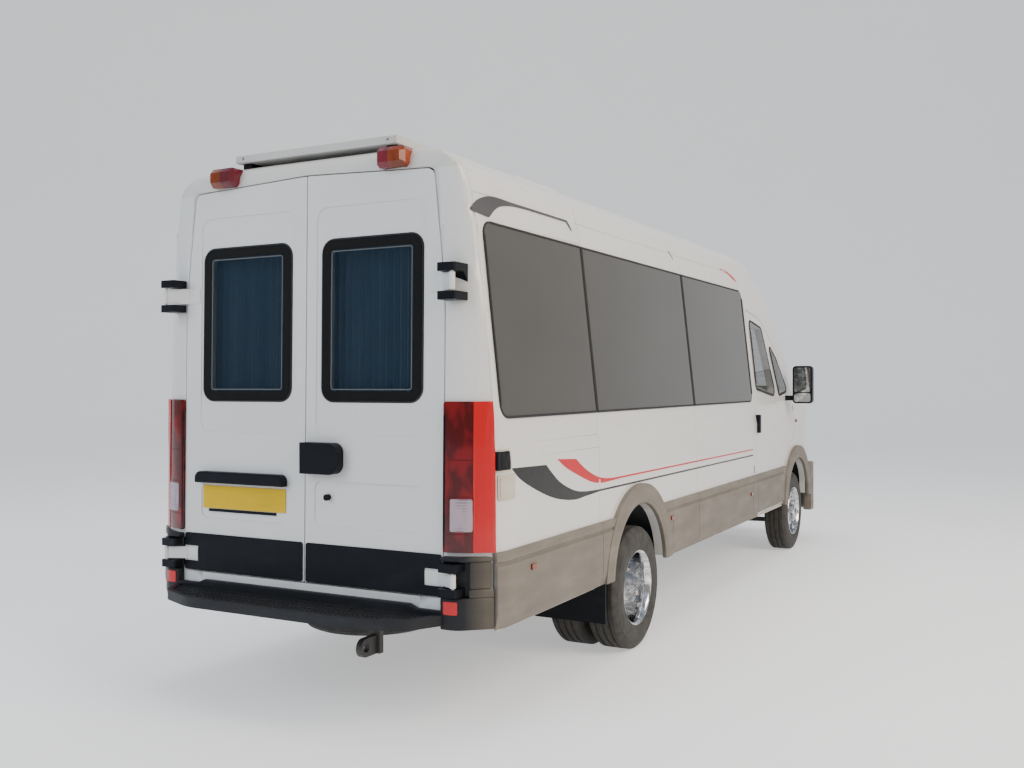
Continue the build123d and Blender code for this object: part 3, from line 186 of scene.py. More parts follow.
class Graph(Tree):
    """A material's node tree with a Principled shader, built step by step."""

    def __init__(self, name: str) -> None:
        """Starts a material.

        Args:
            name: The material's name.
        """
        self.material = bpy.data.materials.new(name)
        self.material.use_nodes = True
        super().__init__(self.material.node_tree)
        self.shader = self.tree.nodes["Principled BSDF"]
        self.place = self.node("ShaderNodeTexCoord").outputs["Object"]

    def fix(self, **values: float | tuple[float, ...]) -> None:
        """Sets sockets of the shader, with underscores for the blanks in their names."""
        for key, value in values.items():
            self.shader.inputs[key.replace("_", " ")].default_value = value

    def feed(self, socket: str, source: Socket) -> None:
        """Links a value into one of the shader's sockets."""
        self.tree.links.new(source, self.shader.inputs[socket])

    def noise(self, scale: float, detail: float, stretch: Row = (1.0, 1.0, 1.0)) -> Socket:
        """A noise value.

        Args:
            scale: Cells per metre.
            detail: Octaves.
            stretch: Factors on the coordinates, larger for finer.

        Returns:
            The noise's factor.
        """
        mapped = self.node("ShaderNodeMapping", Scale=stretch, Vector=self.place).outputs["Vector"]
        return self.node("ShaderNodeTexNoise", Scale=scale, Detail=detail, Vector=mapped).outputs["Fac"]

    def wave(self, scale: float, axis: str) -> Socket:
        """Straight bands across an axis, "X", "Y" or "Z"."""
        wave = self.node("ShaderNodeTexWave", Scale=scale, Vector=self.place)
        wave.bands_direction = axis
        return wave.outputs["Fac"]

    def along(self, axis: str) -> Socket:
        """One of the object coordinates, "X", "Y" or "Z"."""
        return self.node("ShaderNodeSeparateXYZ", Vector=self.place).outputs[axis]

    def span(self, source: Socket, low: float, high: float, **ends: float) -> Socket:
        """A value that goes from 0 to 1 while another one goes from low to high, unless ends are given."""
        node = self.node("ShaderNodeMapRange", Value=source, From_Min=low, From_Max=high, **ends)
        return node.outputs["Result"]

    def mix(self, factor: Socket, first: Socket | Colour, second: Socket | Colour) -> Socket:
        """Mixes two colours, each a socket or a plain colour; a Mix node has them in sockets 6 and 7."""
        node = self.node("ShaderNodeMix")
        node.data_type = "RGBA"
        self.join(factor, node.inputs[0])
        for place, colour in ((6, first), (7, second)):
            self.join((*colour, 1.0) if isinstance(colour, tuple) else colour, node.inputs[place])
        return node.outputs[2]

    def uneven(self, scale: float, detail: float, spread: float, least: float) -> None:
        """Feeds a roughness that varies in patches.

        Args:
            scale: Patches per metre.
            detail: Octaves of the patches.
            spread: How far it rises in them.
            least: What it rises from.
        """
        patches = self.maths("MULTIPLY", self.noise(scale, detail), spread)
        self.feed("Roughness", self.maths("ADD", patches, least))

    def bump(self, source: Socket, strength: float, distance: float) -> None:
        """Feeds a value into the shader as a bump, on top of one that is there."""
        node = self.node("ShaderNodeBump", Strength=strength, Distance=distance, Height=source)
        normal = self.shader.inputs["Normal"]
        if normal.links:
            self.tree.links.new(normal.links[0].from_socket, node.inputs["Normal"])
        self.tree.links.new(node.outputs["Normal"], normal)


@dataclass(frozen=True)
class Finish:
    """A finish that is built once and then shared by name."""

    name: str
    colour: Colour

    @property
    def look(self) -> str:
        """The material's name, which is none of the names in the record's own slots."""
        return f"{self.name}_look"

    def material(self) -> bpy.types.Material:
        """The finish's material, built at its first use."""
        return bpy.data.materials.get(self.look) or self.build().material

    def build(self) -> Graph:
        """Builds the material."""
        raise NotImplementedError


@dataclass(frozen=True)
class Paint(Finish):
    """Glossy vehicle paint with road grime low down."""

    roughness: float = 0.3
    coat: float = 0.5
    grime: float = 0.35

    def build(self) -> Graph:
        """Builds the material."""
        graph = Graph(self.look)
        dirt = tuple(0.55 * value + 0.05 * tint for value, tint in zip(self.colour, DIRT))
        patches = graph.ramp(graph.noise(6.0, 5.0), [(0.35, NONE), (0.75, FULL)])
        low = graph.span(graph.along("Z"), *GRIME_HEIGHTS, To_Min=1.0, To_Max=0.0)
        faint = graph.maths("MULTIPLY", patches, graph.maths("MULTIPLY", low, self.grime))
        tone = graph.ramp(graph.noise(1.3, 2.0), [(0.3, shaded(self.colour, 0.97)), (0.7, self.colour)])
        graph.feed("Base Color", graph.mix(faint, tone, dirt))
        graph.fix(Coat_Weight=self.coat, Coat_Roughness=0.06)
        graph.uneven(40.0, 2.0, 0.12, self.roughness - 0.06)
        graph.bump(graph.noise(260.0, 1.0), 0.02, 0.001)
        return graph


@dataclass(frozen=True)
class Plastic(Finish):
    """Moulded plastic: grained, and bleached in patches where it is old."""

    roughness: float = 0.5
    bleached: float = 0.0
    grain: float = 0.15
    shine: float = 0.22

    def build(self) -> Graph:
        """Builds the material."""
        graph = Graph(self.look)
        pale = tuple(min(1.0, value * (1.0 + self.bleached) + 0.04 * self.bleached) for value in self.colour)
        streaks = graph.noise(3.0, 6.0, (1.0, 1.0, 3.5))
        stops = [(0.3, shaded(self.colour, 0.85)), (0.52, self.colour), (0.75, pale)]
        graph.feed("Base Color", graph.ramp(streaks, stops))
        graph.uneven(25.0, 4.0, 0.2, self.roughness - 0.1)
        graph.fix(Specular_IOR_Level=self.shine)
        graph.bump(graph.noise(900.0, 2.0), self.grain, 0.0006)
        return graph


@dataclass(frozen=True)
class CornerPlastic(Plastic):
    """Moulded plastic painted paler where it turns to the van's side: painted sunlight, with some sun
    bleaching.
    """

    faded: Colour = (0.13, 0.112, 0.09)

    def build(self) -> Graph:
        """Builds the material."""
        graph = super().build()
        plain = graph.shader.inputs["Base Color"].links[0].from_socket
        # The side faces' paler colour is painted sunlight on them, with some sun bleaching
        streaks = graph.noise(5.0, 5.0, (1.0, 1.0, 3.0))
        sunlit_streaked = graph.ramp(streaks, [(0.3, shaded(self.faded, 0.75)), (0.7, self.faded)])
        sunlit_side = graph.span(graph.maths("ABSOLUTE", graph.along("Y"), 0.0), *SUNLIT_SIDE_FROM_TO)
        graph.feed("Base Color", graph.mix(sunlit_side, plain, sunlit_streaked))
        return graph


@dataclass(frozen=True)
class Glazing(Finish):
    """Tinted glass, seen through by as much as its alpha leaves."""

    alpha: float = 0.6
    ripple: float = 0.01
    coat: float = 0.6
    shine: float = 0.35

    def build(self) -> Graph:
        """Builds the material."""
        graph = Graph(self.look)
        shades = [(0.3, shaded(self.colour, 0.8)), (0.7, self.colour)]
        graph.feed("Base Color", graph.ramp(graph.noise(1.5, 2.0), shades))
        graph.fix(Roughness=0.03, IOR=1.5, Alpha=self.alpha, Coat_Weight=self.coat, Coat_Roughness=0.02)
        graph.fix(Specular_IOR_Level=self.shine)
        graph.bump(graph.noise(2.2, 1.0), self.ripple, 0.02)
        return graph


@dataclass(frozen=True)
class Lens(Finish):
    """A moulded lamp lens with fine prisms across one axis."""

    axis: str = "Y"
    prisms: float = 60.0
    depth: float = 0.14
    blotch: float = 0.0

    def build(self) -> Graph:
        """Builds the material."""
        graph = Graph(self.look)
        bands = graph.wave(self.prisms, self.axis)
        lined = graph.ramp(bands, [(0.1, shaded(self.colour, 1.0 - self.depth)), (0.9, self.colour)])
        patches = graph.ramp(graph.noise(9.0, 2.0, (1.0, 1.6, 0.8)), [(0.46, FULL), (0.62, NONE)])
        graph.feed("Base Color", graph.mix(patches, lined, shaded(self.colour, 1.0 - self.blotch)))
        graph.fix(Roughness=0.12, Coat_Weight=0.3, Coat_Roughness=0.03, Specular_IOR_Level=0.3)
        graph.bump(bands, 0.6 * self.depth, 0.0008)
        return graph


@dataclass(frozen=True)
class Metal(Finish):
    """Bare or plated metal with fine scratches and spots of dirt."""

    roughness: float = 0.2
    dirt: float = 0.2
    metallic: float = 1.0

    def build(self) -> Graph:
        """Builds the material."""
        graph = Graph(self.look)
        spots = [(0.5 - 0.4 * self.dirt, shaded(self.colour, 0.55)), (0.62, self.colour)]
        graph.feed("Base Color", graph.ramp(graph.noise(30.0, 6.0), spots))
        graph.fix(Metallic=self.metallic)
        graph.uneven(80.0, 3.0, 0.15, self.roughness - 0.06)
        graph.bump(graph.noise(140.0, 3.0), 0.03, 0.001)
        return graph


@dataclass(frozen=True)
class Rubber(Finish):
    """Tyre and seal rubber with dust in it."""

    dust: float = 0.5

    def build(self) -> Graph:
        """Builds the material."""
        graph = Graph(self.look)
        dusty = tuple(value + 0.07 * self.dust * tint for value, tint in zip(self.colour, DUST))
        graph.feed("Base Color", graph.ramp(graph.noise(22.0, 6.0), [(0.35, self.colour), (0.75, dusty)]))
        graph.uneven(50.0, 3.0, 0.25, 0.6)
        graph.bump(graph.noise(420.0, 3.0), 0.2, 0.001)
        return graph


@dataclass(frozen=True)
class Cloth(Finish):
    """Woven cloth: two crossed sets of threads and a soft sheen."""

    threads: float = 260.0
    second: Colour = (0.1, 0.1, 0.12)

    def build(self) -> Graph:
        """Builds the material."""
        graph = Graph(self.look)
        weave = graph.maths("MULTIPLY", graph.wave(self.threads, "X"), graph.wave(self.threads, "Z"))
        plain = graph.mix(weave, self.second, self.colour)
        worn = graph.maths("MULTIPLY", graph.noise(9.0, 4.0), 0.5)
        graph.feed("Base Color", graph.mix(worn, plain, shaded(self.colour, 1.15)))
        graph.fix(Roughness=0.85, Sheen_Weight=0.4, Sheen_Roughness=0.5)
        graph.bump(weave, 0.06, 0.0006)
        return graph


WHITE = Paint("white_paint", (0.80, 0.79, 0.765))
HEADER = Paint("rear_header_paint", (0.72, 0.69, 0.64), roughness=0.4, coat=0.25, grime=0.0)
CHASSIS = Paint("chassis_black", (0.03, 0.03, 0.032), roughness=0.55, coat=0.0, grime=0.8)
CLADDING = Plastic("faded_cladding", (0.215, 0.19, 0.16), roughness=0.55, bleached=0.25)
BLACK = Plastic("black_moulding", (0.006, 0.0075, 0.011), roughness=0.42, bleached=0.15, shine=0.14)
# The bumper's side faces are painted paler: painted sunlight, with some sun bleaching
BUMPER = CornerPlastic("black_bumper", (0.018, 0.019, 0.022), roughness=0.45, bleached=0.3)
STEP = Plastic("black_step", (0.02, 0.021, 0.024), roughness=0.5, bleached=0.25)
TRIM = Plastic("black_trim", (0.02, 0.02, 0.022), roughness=0.5, bleached=0.2)
INTERIOR = Plastic("grey_interior", (0.09, 0.092, 0.1), roughness=0.6)
SIDE_GLASS = Glazing("dark_side_glass", (0.062, 0.056, 0.046), alpha=0.95, coat=0.2)
REAR_GLASS = Glazing("tinted_rear_glass", (0.004, 0.018, 0.032), alpha=0.5, coat=0.0, shine=0.12)
CAB_GLASS = Glazing("cab_glass", (0.05, 0.07, 0.065), alpha=0.3)
FRIT = Plastic("glass_border", (0.006, 0.007, 0.008), roughness=0.16, grain=0.0)
PALE_LINE = Plastic("border_line", (0.16, 0.17, 0.17), roughness=0.4, grain=0.0)
RED_LENS = Lens("red_lens", (0.20, 0.003, 0.006), prisms=50.0, depth=0.1, blotch=0.62)
RIDGE_LENS = Lens("bright_red_lens", (0.60, 0.008, 0.010), axis="Z", prisms=60.0, depth=0.08)
CLEAR_LENS = Lens("clear_lens", (0.44, 0.34, 0.40), axis="Z", prisms=26.0, depth=0.5)
AMBER_LENS = Lens("amber_lens", (0.30, 0.045, 0.006), prisms=80.0, depth=0.2, blotch=0.4)
PLUM_LENS = Lens("plum_lens", (0.22, 0.012, 0.03), prisms=80.0, depth=0.25, blotch=0.5)
HEAD_LENS = Lens("headlamp_lens", (0.55, 0.57, 0.6), prisms=18.0)
CHROME = Metal("bright_chrome", (0.86, 0.86, 0.87), roughness=0.1, dirt=0.1)
STEEL = Metal("bare_steel", (0.42, 0.42, 0.43), roughness=0.35, dirt=0.5)
ALUMINIUM = Plastic("coated_aluminium", (0.62, 0.60, 0.56), roughness=0.45, grain=0.02)
IRON = Metal("cast_iron", (0.09, 0.085, 0.08), roughness=0.6, dirt=0.7, metallic=0.6)
TYRE = Rubber("tyre_rubber", (0.028, 0.027, 0.026))
SEAL = Rubber("seal_rubber", (0.012, 0.012, 0.013), dust=0.15)
SEAT_CLOTH = Cloth("seat_cloth", (0.12, 0.13, 0.17))
CURTAIN_CLOTH = Cloth("curtain_cloth", (0.36, 0.46, 0.60), threads=180.0, second=(0.33, 0.43, 0.57))
YELLOW = Plastic("plate_yellow", (0.80, 0.50, 0.012), roughness=0.3, grain=0.02)
STRIPE_BLACK = Plastic("stripe_black", (0.018, 0.017, 0.016), roughness=0.3, grain=0.0)
STRIPE_RED = Plastic("stripe_red", (0.62, 0.012, 0.02), roughness=0.3, grain=0.0)
STRIPE_GREY = Plastic("stripe_grey", (0.08, 0.078, 0.08), roughness=0.35, grain=0.0)
DARK_RED = Plastic("lamp_divider", (0.10, 0.004, 0.004), roughness=0.2, grain=0.0)
CREAM = Plastic("cream_plastic", (0.66, 0.6, 0.5), roughness=0.45)
MIRROR = Metal("mirror_glass", (0.75, 0.78, 0.8), roughness=0.03, dirt=0.0)
SOLAR = Glazing("solar_cells", (0.008, 0.012, 0.035), alpha=1.0)


# Shapes

# How close two points are one, how deep a film and a bead are sunk into their surface, in metres
SAME_PLACE = 1e-6
SUNK = 0.0006
BEAD_SUNK = 0.0008

# What the triangulation keeps, which is the triangles inside the outline, and its tolerance in millimetres
KEEP_INSIDE = 1
TOLERANCE = 1e-4


def closed_mesh(name: str, solid: Solid, merge: float = 0.0) -> bpy.types.Mesh:
    """A mesh whose faces point outwards.

    Args:
        name: Its name.
        solid: Its points and faces.
        merge: Points closer than this become one, in metres.

    Returns:
        The mesh.
    """
    mesh = bpy.data.meshes.new(name)
    mesh.from_pydata([tuple(vert) for vert in solid[0]], [], solid[1])
    bm = bmesh.new()
    bm.from_mesh(mesh)
    if merge:
        bmesh.ops.remove_doubles(bm, verts=bm.verts, dist=merge)
    bmesh.ops.recalc_face_normals(bm, faces=bm.faces)
    bm.to_mesh(mesh)
    bm.free()
    return mesh


def piece(name: str, solid: Solid, finish: Finish, body: str, smooth: float = 40.0) -> bpy.types.Object:
    """Makes a finished piece from points and faces.

    Args:
        name: The piece's name.
        solid: Its points and faces, in the model's frame.
        finish: Its finish.
        body: The body it rides on.
        smooth: Edges flatter than this many degrees are shaded smooth.

    Returns:
        The new object.
    """
    return settle(name, closed_mesh(name, solid, SAME_PLACE), finish, body, smooth)


def settle(
    name: str, mesh: bpy.types.Mesh, finish: Finish, body: str, smooth: float = 40.0
) -> bpy.types.Object:
    """Puts a mesh into the scene as a finished piece of a body.

    Args:
        name: The piece's name.
        mesh: Its mesh, in the model's frame.
        finish: Its finish.
        body: The body it rides on.
        smooth: Edges flatter than this many degrees are shaded smooth.

    Returns:
        The new object.
    """
    mesh.materials.clear()
    mesh.materials.append(finish.material())
    mesh.polygons.foreach_set("material_index", [0] * len(mesh.polygons))
    mesh.polygons.foreach_set("use_smooth", [True] * len(mesh.polygons))
    mesh.set_sharp_from_angle(angle=math.radians(smooth))
    made = bpy.data.objects.new(name, mesh)
    bpy.context.scene.collection.objects.link(made)
    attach(made, body)
    LOG.info("made %s on %s", name, body)
    return made


def baked(made: bpy.types.Object) -> bpy.types.Mesh:
    """A plain mesh of an object as its modifiers leave it."""
    return bpy.data.meshes.new_from_object(made.evaluated_get(bpy.context.evaluated_depsgraph_get()))


def joined(solids: Iterable[Solid]) -> Solid:
    """Puts the points and faces of several solids into one."""
    verts: list[Vector] = []
    faces: list[Face] = []
    for points, sides in solids:
        base = len(verts)
        verts += points
        faces += [tuple(base + index for index in face) for face in sides]
    return verts, faces


def moved(place: Matrix, solid: Solid) -> Solid:
    """A solid moved or turned as a matrix says."""
    return [place @ vert for vert in solid[0]], solid[1]


def between(near: list[Vector], far: list[Vector]) -> Solid:
    """The closed solid between an outline and its copy further on."""
    count = len(near)
    faces = [tuple(range(count)), tuple(range(2 * count - 1, count - 1, -1))]
    faces += [(i, (i + 1) % count, count + (i + 1) % count, count + i) for i in range(count)]
    return near + far, faces


def prism(outline: list[Point2], low: float, high: float) -> Solid:
    """The upright solid over an outline seen from above, in millimetres."""
    return between(*([van(x, y, z) for x, y in outline] for z in (low, high)))


def solid_box(low: Vector, high: Vector) -> Solid:
    """The box between two corners."""
    verts = [Vector((x, y, z)) for x in (low.x, high.x) for y in (low.y, high.y) for z in (low.z, high.z)]
    return verts, [(0, 1, 3, 2), (4, 6, 7, 5), (0, 4, 5, 1), (2, 3, 7, 6), (0, 2, 6, 4), (1, 5, 7, 3)]


def block(half_x: float, half_y: float, low: float, high: float) -> Solid:
    """A box about the z axis, from half its lengths along x and y and the heights of its ends."""
    return solid_box(Vector((-half_x, -half_y, low)), Vector((half_x, half_y, high)))


def ring_faces(rings: int, points: int) -> list[Face]:
    """The faces of a tube closed on itself, whose rings have as many points each."""
    faces: list[Face] = []
    for index in range(rings):
        here, there = index * points, (index + 1) % rings * points
        for step in range(points):
            other = (step + 1) % points
            faces.append((here + step, here + other, there + other, there + step))
    return faces


def lathe(rows: list[Point2], steps: int = 96) -> Solid:
    """Turns a profile about the y axis.

    Args:
        rows: The closed profile, as (radius, distance along y), in millimetres.
        steps: Facets round.

    Returns:
        Points in metres and faces.
    """
    verts: list[Vector] = []
    for turn in (2 * math.pi * step / steps for step in range(steps)):
        across, up = math.cos(turn), math.sin(turn)
        verts += [Vector((radius * across, out, radius * up)) / 1000 for radius, out in rows]
    return verts, ring_faces(steps, len(rows))


def rounded(rows: list[Row], steps: int = 6) -> list[Point2]:
    """A closed outline with rounded corners.

    Args:
        rows: Corners, each as (across, up, radius).
        steps: Points along each rounded corner.

    Returns:
        The outline's points in order.
    """
    out: list[Point2] = []
    count = len(rows)
    for index, (across, up, radius) in enumerate(rows):
        here = Vector((across, up))
        if radius <= 0:
            out.append((across, up))
            continue
        before = (Vector(rows[index - 1][:2]) - here).normalized()
        after = (Vector(rows[(index + 1) % count][:2]) - here).normalized()
        half = before.angle(after) / 2
        length = radius / math.tan(half)
        centre = here + (before + after).normalized() * radius / math.sin(half)
        start, end = here + before * length - centre, here + after * length - centre
        turn = start.angle_signed(end)
        for step in range(steps + 1):
            spoke = Matrix.Rotation(-turn * step / steps, 2) @ start
            out.append(tuple(centre + spoke))
    return out


def plate(low: float, high: float, bottom: float, top: float, radius: float) -> list[Point2]:
    """The outline of an upright rectangle with one corner radius."""
    return rounded([(low, bottom, radius), (high, bottom, radius), (high, top, radius), (low, top, radius)])


def closer(path: list[Point2], step: float) -> list[Point2]:
    """A closed outline with points no further apart than a step."""
    out: list[Point2] = []
    for start, end in zip(path, path[1:] + path[:1]):
        first, last = Vector(start), Vector(end)
        count = max(1, math.ceil((last - first).length / step))
        out += [tuple(first.lerp(last, index / count)) for index in range(count)]
    return out


def curve(rows: list[Point2], steps: int = 6) -> list[Point2]:
    """A smooth open curve through points."""
    out: list[Point2] = []
    points = [Vector(row) for row in rows]
    padded = [2 * points[0] - points[1], *points, 2 * points[-1] - points[-2]]
    for index in range(1, len(padded) - 2):
        before, start, end, after = padded[index - 1 : index + 3]
        for t in (step / steps for step in range(steps)):
            bend = (2 * start) + (end - before) * t
            bend += (2 * before - 5 * start + 4 * end - after) * t * t
            bend += (3 * start - before - 3 * end + after) * t * t * t
            out.append(tuple(bend / 2))
    out.append(tuple(points[-1]))
    return out


def soften(made: bpy.types.Object, width: float, segments: int = 2) -> None:
    """Rounds an object's sharp edges with a live modifier and weighs its normals."""
    bevel = made.modifiers.new("edges", "BEVEL")
    bevel.width, bevel.segments = width, segments
    bevel.limit_method, bevel.angle_limit = "ANGLE", math.radians(30.0)
    weigh(made)


def weigh(made: bpy.types.Object) -> None:
    """Shades flat faces flat, with a live modifier."""
    made.modifiers.new("weighted", "WEIGHTED_NORMAL").keep_sharp = True


class Skin:
    """The outer surface of some solids, to lay thin pieces on."""

    # Where the lines to a side, the rear and the front start, in millimetres
    BESIDE, BEHIND, AHEAD = 1500.0, -2500.0, 5200.0

    def __init__(self, nodes: dict[str, bpy.types.Object], names: list[str]) -> None:
        """Gathers the surface.

        Args:
            nodes: The model's nodes.
            names: The nodes whose surface it is.
        """
        solids: list[Solid] = []
        for mesh in (nodes[name].data for name in names):
            points = [vert.co.copy() for vert in mesh.vertices]
            solids.append((points, [face.vertices for face in mesh.polygons]))
        self.tree = BVHTree.FromPolygons(*joined(solids))

    def hit(self, start: Vector, way: Row) -> Spot | None:
        """The first point that a line meets, with its normal turned against the line."""
        way = Vector(way)
        place, normal, _, _ = self.tree.ray_cast(start, way)
        if place is None:
            return None
        return place, normal if normal.dot(way) < 0 else -normal

    def side(self, side: Side) -> Project:
        """The projection of (x, z), in millimetres, onto a side wall."""
        return lambda x, z: self.hit(van(x, self.BESIDE * side.value, z), (0, -side.value, 0))

    def rear(self, side: Side) -> Project:
        """The projection of (distance out, z), in millimetres, onto one side of the rear."""
        return lambda out, z: self.hit(van(self.BEHIND, side.value * out, z), (1, 0, 0))

    def front(self, y: float, z: float) -> Spot | None:
        """The point of the front at y and z, in millimetres."""
        return self.hit(van(self.AHEAD, y, z), (-1, 0, 0))


def traced(outline: list[Point2], step: float, project: Project) -> list[Spot]:
    """Points of a surface along an outline, no further apart than a step; where it misses, there is none."""
    found = [project(*place) for place in closer(outline, step)]
    return [spot for spot in found if spot]


def bead(name: str, spots: list[Spot], profile: list[Point2], finish: Finish, body: str) -> None:
    """Sweeps a profile along a closed path of points that lie on a surface.

    Args:
        name: The piece's name.
        spots: Points with the surface's normals.
        profile: Points of the closed profile as (along the surface, off the surface), in metres.
        finish: Its finish.
        body: The body it rides on.
    """
    verts: list[Vector] = []
    count = len(spots)
    for index, (place, normal) in enumerate(spots):
        along = (spots[(index + 1) % count][0] - spots[index - 1][0]).normalized()
        across = along.cross(normal).normalized()
        verts += [place + across * u + normal * v for u, v in profile]
    piece(name, (verts, ring_faces(count, len(profile))), finish, body)


def half_round(width: float, height: float, steps: int = 5) -> list[Point2]:
    """A half-round profile that stands on the surface, sunk a little at its foot."""
    arc = [math.pi * index / steps for index in range(steps + 1)]
    return [(width / 2 * math.cos(turn), height * math.sin(turn) - BEAD_SUNK) for turn in arc]


def border(name: str, outer: list[Spot], inner: list[Spot], finish: Finish, body: str) -> None:
    """Lays a thin closed film between two closed outlines on a surface.

    Args:
        name: The piece's name.
        outer: One outline's points with normals.
        inner: The other one's, as many.
        finish: Its finish.
        body: The body it rides on.
    """
    verts: list[Vector] = []
    for (high, high_normal), (low, low_normal) in zip(outer, inner):
        verts += [high + high_normal * SUNK, low + low_normal * SUNK]
        verts += [low - low_normal * SUNK, high - high_normal * SUNK]
    piece(name, (verts, ring_faces(len(outer), 4)), finish, body, smooth=25.0)


def grid(low: Vector, high: Vector, step: float) -> list[Vector]:
    """Points a step apart inside the rectangle between two corners."""
    inner: list[Vector] = []
    across = low.x + step / 2
    while across < high.x:
        up = low.y + step / 2
        while up < high.y:
            inner.append(Vector((across, up)))
            up += step
        across += step
    return inner


def film(
    name: str,
    outline: list[Point2],
    project: Project,
    finish: Finish,
    body: str = "van",
    lift: float = 0.0009,
    step: float = 70.0,
) -> None:
    """Lays a thin closed film with any outline on a surface.

    Args:
        name: The piece's name.
        outline: Its outline in millimetres, as the projection takes it.
        project: Finds the surface's point and normal at a place of the outline.
        finish: Its finish.
        body: The body it rides on.
        lift: Its height over the surface, in metres.
        step: The largest distance between its points, in millimetres.
    """
    points = [Vector(spot) for spot in closer(outline, step)]
    low = Vector((min(p.x for p in points), min(p.y for p in points)))
    high = Vector((max(p.x for p in points), max(p.y for p in points)))
    spread, edge = points + grid(low, high, step), list(range(len(points)))
    flat, _, tris, _, _, _ = delaunay_2d_cdt(spread, [], [edge], KEEP_INSIDE, TOLERANCE)
    used = sorted({index for tri in tris for index in tri})
    place = {index: number for number, index in enumerate(used)}
    spots = [project(*flat[index]) for index in used]
    found = next(spot for spot in spots if spot)
    spots = [spot or found for spot in spots]
    number = len(used)
    faces: list[Face] = []
    sides: set[tuple[int, int]] = set()
    for tri in tris:
        here = [place[index] for index in tri]
        faces += [tuple(here), tuple(number + index for index in reversed(here))]
        sides.update(zip(here, here[1:] + here[:1]))
    faces += [(b, a, number + a, number + b) for a, b in sorted(sides) if (b, a) not in sides]
    verts = [point + normal * lift for point, normal in spots]
    verts += [point - normal * SUNK for point, normal in spots]
    piece(name, (verts, faces), finish, body, smooth=25.0)


class Layout(Enum):
    """How a pattern lays out its copies."""

    LINE = "line"
    RING = "ring"


@dataclass
class Pattern:
    """A Geometry Nodes pattern that repeats a small solid."""

    layout: Layout
    solid: Solid
    count: int
    step: Vector = field(default_factory=Vector)
    radius: float = 0.0

    def tree(self, finish: Finish) -> bpy.types.NodeTree:
        """Builds the node tree.

        Args:
            finish: The finish that its last node sets.

        Returns:
            The tree, with inputs named Count, Step, Radius and Template.
        """
        group = bpy.data.node_groups.new(f"{self.layout.value}_pattern", "GeometryNodeTree")
        for word, kind in (("Count", "Int"), ("Step", "Vector"), ("Radius", "Float"), ("Template", "Object")):
            group.interface.new_socket(word, in_out="INPUT", socket_type=f"NodeSocket{kind}")
        group.interface.new_socket("Geometry", in_out="OUTPUT", socket_type="NodeSocketGeometry")
        tree = Tree(group)
        given = tree.node("NodeGroupInput").outputs
        index = tree.node("GeometryNodeInputIndex").outputs[0]
        spin: Socket | Row = (0.0, 0.0, 0.0)
        if self.layout is Layout.LINE:
            scale = tree.node("ShaderNodeVectorMath")
            scale.operation = "SCALE"
            tree.join(given["Step"], scale.inputs[0])
            tree.join(index, scale.inputs["Scale"])
            place = scale.outputs[0]
        else:
            turn = tree.maths("MULTIPLY", tree.maths("DIVIDE", index, given["Count"]), 2 * math.pi)
            across, up = (tree.maths(wave, turn, 0.0) for wave in ("COSINE", "SINE"))
            x, z = (tree.maths("MULTIPLY", part, given["Radius"]) for part in (across, up))
            place = tree.node("ShaderNodeCombineXYZ", X=x, Z=z).outputs[0]
            spin = tree.node("ShaderNodeCombineXYZ", Y=tree.maths("MULTIPLY", turn, -1.0)).outputs[0]
        points = tree.node("GeometryNodePoints", Count=given["Count"], Position=place).outputs[0]
        shape = tree.node("GeometryNodeObjectInfo", Object=given["Template"]).outputs["Geometry"]
        copies = tree.node("GeometryNodeInstanceOnPoints", Points=points, Instance=shape, Rotation=spin)
        real = tree.node("GeometryNodeRealizeInstances", Geometry=copies.outputs[0])
        paint = tree.node("GeometryNodeSetMaterial", Geometry=real.outputs[0], Material=finish.material())
        tree.node("NodeGroupOutput", Geometry=paint.outputs[0])
        return group

    def bake(self, name: str, finish: Finish, body: str, place: Matrix, smooth: float = 30.0) -> None:
        """Turns the pattern into a plain finished piece.

        Args:
            name: The piece's name.
            finish: Its finish.
            body: The body it rides on.
            place: Where the pattern's own origin goes.
            smooth: Edges flatter than this many degrees are shaded smooth.
        """
        carrier = bpy.data.objects.new("carrier", bpy.data.meshes.new("carrier"))
        source = bpy.data.objects.new("template", closed_mesh("template", self.solid))
        for made in (carrier, source):
            bpy.context.scene.collection.objects.link(made)
        modifier = carrier.modifiers.new("pattern", "NODES")
        tree = self.tree(finish)
        modifier.node_group = tree
        values = {"Count": self.count, "Step": tuple(self.step), "Radius": self.radius, "Template": source}
        for item in tree.interface.items_tree:
            if item.in_out == "INPUT":
                modifier[item.identifier] = values[item.name]
        mesh = baked(carrier)
        carrier.modifiers.remove(modifier)
        for made in (carrier, source):
            bpy.data.objects.remove(made)
        bpy.data.node_groups.remove(tree)
        mesh.transform(place)
        mesh.name = name
        settle(name, mesh, finish, body, smooth)


# The rear corners: the solids have them tight, so copies of their skins are drawn in to the real rounding

# The rear's place at the sill, how far its skins stand behind it, how much it leans, the sill's height, and
# where a corner's middle lies forward of the rear and out from the van's middle, in millimetres
REAR_X = -1752.0
REAR_LIP = 4.0
REAR_SLOPE = 38.0 / 2276
SILL_Z = 300.0
INSIDE = Vector((330.0, 650.0))

# The corner's outline in the solids and on the real van, as (forward of the rear, out, radius)
TIGHT = rounded([(-300, 0, 0), (0, 0, 0), (0, 980, 112), (900, 980, 0), (900, 0, 0)])
ROUND = rounded([(-0.5, 0, 0), (-0.5, 810, 300), (96, 980, 130), (900, 980, 0), (900, 0, 0)])

# The body's section, as (height, half its width)
SECTION = [
    (300, 980), (1180, 980), (1246, 970), (1370, 966), (2232, 872), (2466, 824), (2554, 700), (2600, 300),
]

# Where faces near the corners are parted: forward of the rear, out from the middle and up
PARTED_X = (345, 190, 160, 130, 95, 60, 25)
PARTED_Y = (640, 735, 760, 785, 810, 840, 870, 900, 930, 960)
PARTED_Z = range(520, 2600, 130)


